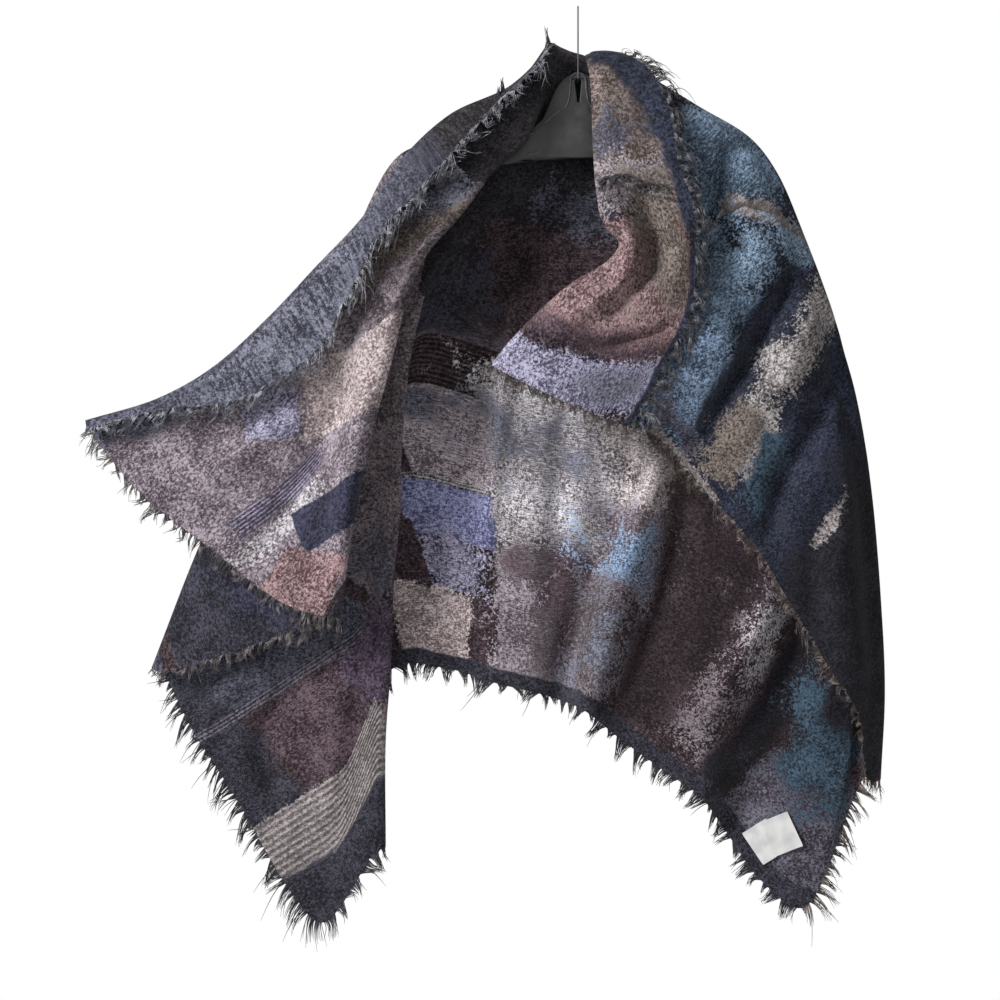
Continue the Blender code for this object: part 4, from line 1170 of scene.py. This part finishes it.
def make_beads(finish):
    """Raised beads moulded on the hanger's face: a rim round the eye that runs out into the arms."""
    rim = [(-EYE_RIM * math.cos(angle), EYE_TOP + EYE_RIM * math.sin(angle) - RIM_DROP)
           for angle in (math.pi * i / RIM_STEPS for i in range(RIM_STEPS + 1))]
    tilt = Matrix.Rotation(-HANGER_TILT, 4, "Y")
    middle = Vector((0.0, 0.0, EYE_TOP))
    lines = []
    for path in ([(-x, z) for x, z in RIM_FLARE] + rim + RIM_FLARE[::-1], ARM_BEAD):
        line = []
        for x, z in path:
            grown = float(smooth_step(np.array((abs(x) - ARM_STARTS) / ARM_STARTS)))
            half = (PLATE_THICK + (ARM_THICK - PLATE_THICK) * grown) / 2
            y = -ARM_SWEEP * (abs(x) / HALF_SPAN) ** 2 - half
            line.append(tilt @ (Vector((x, y, z)) - middle) + middle)
        lines.append(line)
    return draw_tubes("hanger_beads", lines, lambda share: 1.0, BEAD_RADIUS, 2, finish, SHARP_SMALL)


def make_leaf(name, solid, curl, splay, finish):
    """One leaf of label tape on its own solid's middle plane: soft corners, a stitched end, a curl."""
    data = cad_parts[solid].data
    points = np.array([vert.co[:] for vert in data.vertices]) / MM
    middle = points.mean(axis=0)
    turn = LEAF_TURN + splay
    across = np.array([math.cos(turn), 0.0, math.sin(turn)])
    down = np.array([math.sin(turn), 0.0, -math.cos(turn)])
    fit = np.linalg.lstsq(np.c_[(points - middle)[:, [0, 2]], np.ones(len(points))],
                          (points - middle)[:, 1], rcond=None)[0]
    bm = bmesh.new()
    bmesh.ops.create_grid(bm, x_segments=LEAF_GRID[0], y_segments=LEAF_GRID[1], size=0.5)
    for vert in bm.verts:
        a, b = vert.co.x, vert.co.y
        beside, below = [max(0.0, abs(share) - start) / (0.5 - start)
                         for share, start in zip((a, b), CORNER_STARTS)]
        a -= math.copysign(CORNER_CUT * beside * below, a)
        flat = across * a * LEAF_WIDTH + down * b * LEAF_LENGTH
        y = fit[0] * flat[0] + fit[1] * flat[2] + fit[2] - LEAF_LIFT
        y -= curl * (max(0.0, a + 0.5) ** CURL_POWER) * (0.6 + 0.8 * (b + 0.5))
        y -= 0.25 * math.sin(9.0 * a + 5.0 * b)
        y += STITCH_DENT * math.exp(-((b - STITCH_ROW) / STITCH_WIDTH) ** 2)
        vert.co = Vector((middle[0] + flat[0], middle[1] + y, middle[2] + flat[2])) * MM
    bmesh.ops.recalc_face_normals(bm, faces=bm.faces)
    bmesh.ops.solidify(bm, geom=bm.faces[:], thickness=TAPE_THICK * MM)
    bmesh.ops.recalc_face_normals(bm, faces=bm.faces)
    return finish_mesh(name, mesh_of(bm, name), finish, SHARP_SMALL)


def plastic_finish():
    finish = Finish("black_moulded_plastic", roughness=0.38)
    space = finish.places()
    mottle = finish.noise(space, 60.0, 4.0, 0.6)
    grain = finish.noise(space, 1400.0, 1.0)
    colour = finish.blend(mottle.between(0.4, 0.75), *PLASTIC_COLOURS)
    return finish.surface(colour, grain, FINE_RELIEF, roughness=mottle * 0.25 + 0.28)


# Painted highlight: the raised beads are coloured lighter than the plastic to stand for the light on the rim
# round the eye and along the arms.
def bead_highlight_finish():
    finish = Finish("worn_moulded_edge", roughness=0.4)
    space = finish.places()
    mottle = finish.noise(space, 130.0, 3.0, 0.6)
    colour = finish.blend(mottle.between(0.35, 0.65), *BEAD_HIGHLIGHT_COLOURS)
    return finish.surface(colour, mottle, FINE_RELIEF)


def wire_finish():
    finish = Finish("dark_drawn_wire", roughness=0.45, metallic=0.6)
    space = finish.places()
    streak = finish.noise(finish.stretched(space, (900.0, 900.0, 40.0)), 1.0, 2.0)
    colour = finish.blend(streak, *WIRE_COLOURS)
    return finish.surface(colour, streak, FINE_RELIEF)


def tape_finish():
    finish = Finish("white_label_tape", roughness=0.5, sheen_weight=0.1)
    space = finish.places()
    weave = finish.noise(finish.stretched(space, (2600.0, 2600.0, 700.0)), 1.0, 1.0)
    soil = finish.noise(space, 60.0, 3.0)
    colour = finish.blend(soil.between(0.35, 0.8), *TAPE_COLOURS)
    return finish.surface(colour, weave, TAPE_RELIEF)


def plain_stage_finish():
    finish = Finish("pale_floor", roughness=0.8)
    space = finish.places()
    cloud = finish.noise(space, 1.5, 2.0)
    colour = finish.blend(cloud, *FLOOR_COLOURS)
    return finish.surface(colour, cloud, FINE_RELIEF)


def area_light(name, power, size, spot):
    lamp = bpy.data.lights.new(name, "AREA")
    lamp.energy = power
    lamp.size = size
    made = bpy.data.objects.new(name, lamp)
    made.location = spot
    made.rotation_euler = (Vector(STAGE_MIDDLE) - Vector(spot)).to_track_quat("-Z", "Y").to_euler()
    bpy.context.scene.collection.objects.link(made)


def make_camera():
    lens = bpy.data.cameras.new("camera")
    lens.sensor_width = SENSOR
    lens.lens = SENSOR * CAMERA_DISTANCE / FIELD
    made = bpy.data.objects.new("camera", lens)
    x, y, z = CAMERA_CENTRE
    made.location = (x, y - CAMERA_DISTANCE, z)
    made.rotation_euler = (math.pi / 2, 0.0, 0.0)
    bpy.context.scene.collection.objects.link(made)
    bpy.context.scene.camera = made


def make_stage():
    """A pale floor, soft light from the upper left and a white surround."""
    bm = bmesh.new()
    bmesh.ops.create_circle(bm, cap_ends=True, segments=96, radius=FLOOR_RADIUS)
    bmesh.ops.translate(bm, verts=bm.verts, vec=(0.0, 0.0, FLOOR_HEIGHT))
    mesh = mesh_of(bm, "floor")
    mesh.materials.append(plain_stage_finish())
    floor = bpy.data.objects.new("floor", mesh)
    bpy.context.scene.collection.objects.link(floor)
    for name, lamp in LAMPS.items():
        area_light(name, *lamp)
    world = bpy.data.worlds.new("white_surround")
    bpy.context.scene.world = world
    world.use_nodes = True
    nodes, links = world.node_tree.nodes, world.node_tree.links
    dim = nodes["Background"]
    dim.inputs["Color"].default_value = (1.0, 1.0, 1.0, 1.0)
    dim.inputs["Strength"].default_value = SURROUND_LIGHT
    shown = nodes.new("ShaderNodeBackground")
    shown.inputs["Color"].default_value = (1.0, 1.0, 1.0, 1.0)
    shown.inputs["Strength"].default_value = 1.0
    seen = nodes.new("ShaderNodeLightPath")
    mix = nodes.new("ShaderNodeMixShader")
    links.new(seen.outputs["Is Camera Ray"], mix.inputs[0])
    links.new(dim.outputs[0], mix.inputs[1])
    links.new(shown.outputs[0], mix.inputs[2])
    links.new(mix.outputs[0], nodes["World Output"].inputs["Surface"])
    bpy.context.scene.view_settings.view_transform = "Standard"


make_camera()
make_stage()

# The cloth: its middle surface, its place on the flat cut, and how far it comes to the viewer
cage, cage_place = build_cage()
sheet, fine_place = fill_between(cage)
place = {name: fine_place[column] for name, column in cage_place.items()}
cut = cut_places(sheet, place)
lift = undulation(sheet) * np.linspace(0.0, 1.0, sheet.shape[1])[None, :] ** 0.5
for crease in CREASES:
    first = place[STRETCH_NAMED[crease.stretches[0]].first]
    last = place[STRETCH_NAMED[crease.stretches[-1]].last]
    count = np.arange(last + 1 - first)
    from_first = np.ones(len(count)) if first == 0 else count / FOLD_HOLD
    from_last = np.ones(len(count)) if last == len(sheet) - 1 else count[::-1] / FOLD_HOLD
    hold = smooth_step(np.clip(np.minimum(from_first, from_last), 0.0, 1.0))
    lift[first:last + 1] += crease_lift(crease, sheet[first:last + 1]) * hold[:, None]
sheet[..., 1] -= lift
normals = cloth_normals(sheet)
columns_of = {stretch.name: slice(place[stretch.first], place[stretch.last] + 1) for stretch in STRETCHES}
for stretch in STRETCHES:
    columns = columns_of[stretch.name]
    piece = cloth_wall("felt_" + stretch.name, sheet[columns], normals[columns], cut[columns],
                       felt_finish(stretch.name, cut[columns]))
    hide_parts(stretch.name)

# Fringe, frayed seams, loops and tufts
yarns = {name: yarn_finish(name) for name in YARNS}
for edge in FRINGED:
    first, last = place[edge.first], place[edge.last]
    if first == last:
        inside = 1 if first == 0 else first - 1
        lines = sheet[first], normals[first], sheet[inside]
    else:
        columns = slice(first, last + 1)
        lines = sheet[columns, -1], normals[columns, -1], sheet[columns, -2]
    piece = make_fringe(edge, *lines, yarns[edge.yarn])
    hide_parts(edge.name)
for i, seam in enumerate(SEAMS):
    columns = columns_of[seam.stretch]
    piece = make_seam("frayed_seam_%d" % (i + 1), seam, sheet[columns], normals[columns], yarns[seam.yarn])
columns = columns_of["right_lapel"]
loops = make_loops("loop_stitches", sheet[columns], normals[columns], yarns["navy yarn"])
tufts = make_tufts("neck_tufts", sheet[:place["wing inner fold"]].reshape(-1, 3), yarns["navy yarn"])

# Hanger, wire and label
hanger = make_hanger(plastic_finish())
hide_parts("hanger")
beads = make_beads(bead_highlight_finish())
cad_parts["hanging_wire"].data.materials.clear()
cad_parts["hanging_wire"].data.materials.append(wire_finish())
tape = tape_finish()
for name, (curl, splay) in LEAF_CURLS.items():
    leaf = make_leaf("tape_" + name, name, curl, splay, tape)
    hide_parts(name)
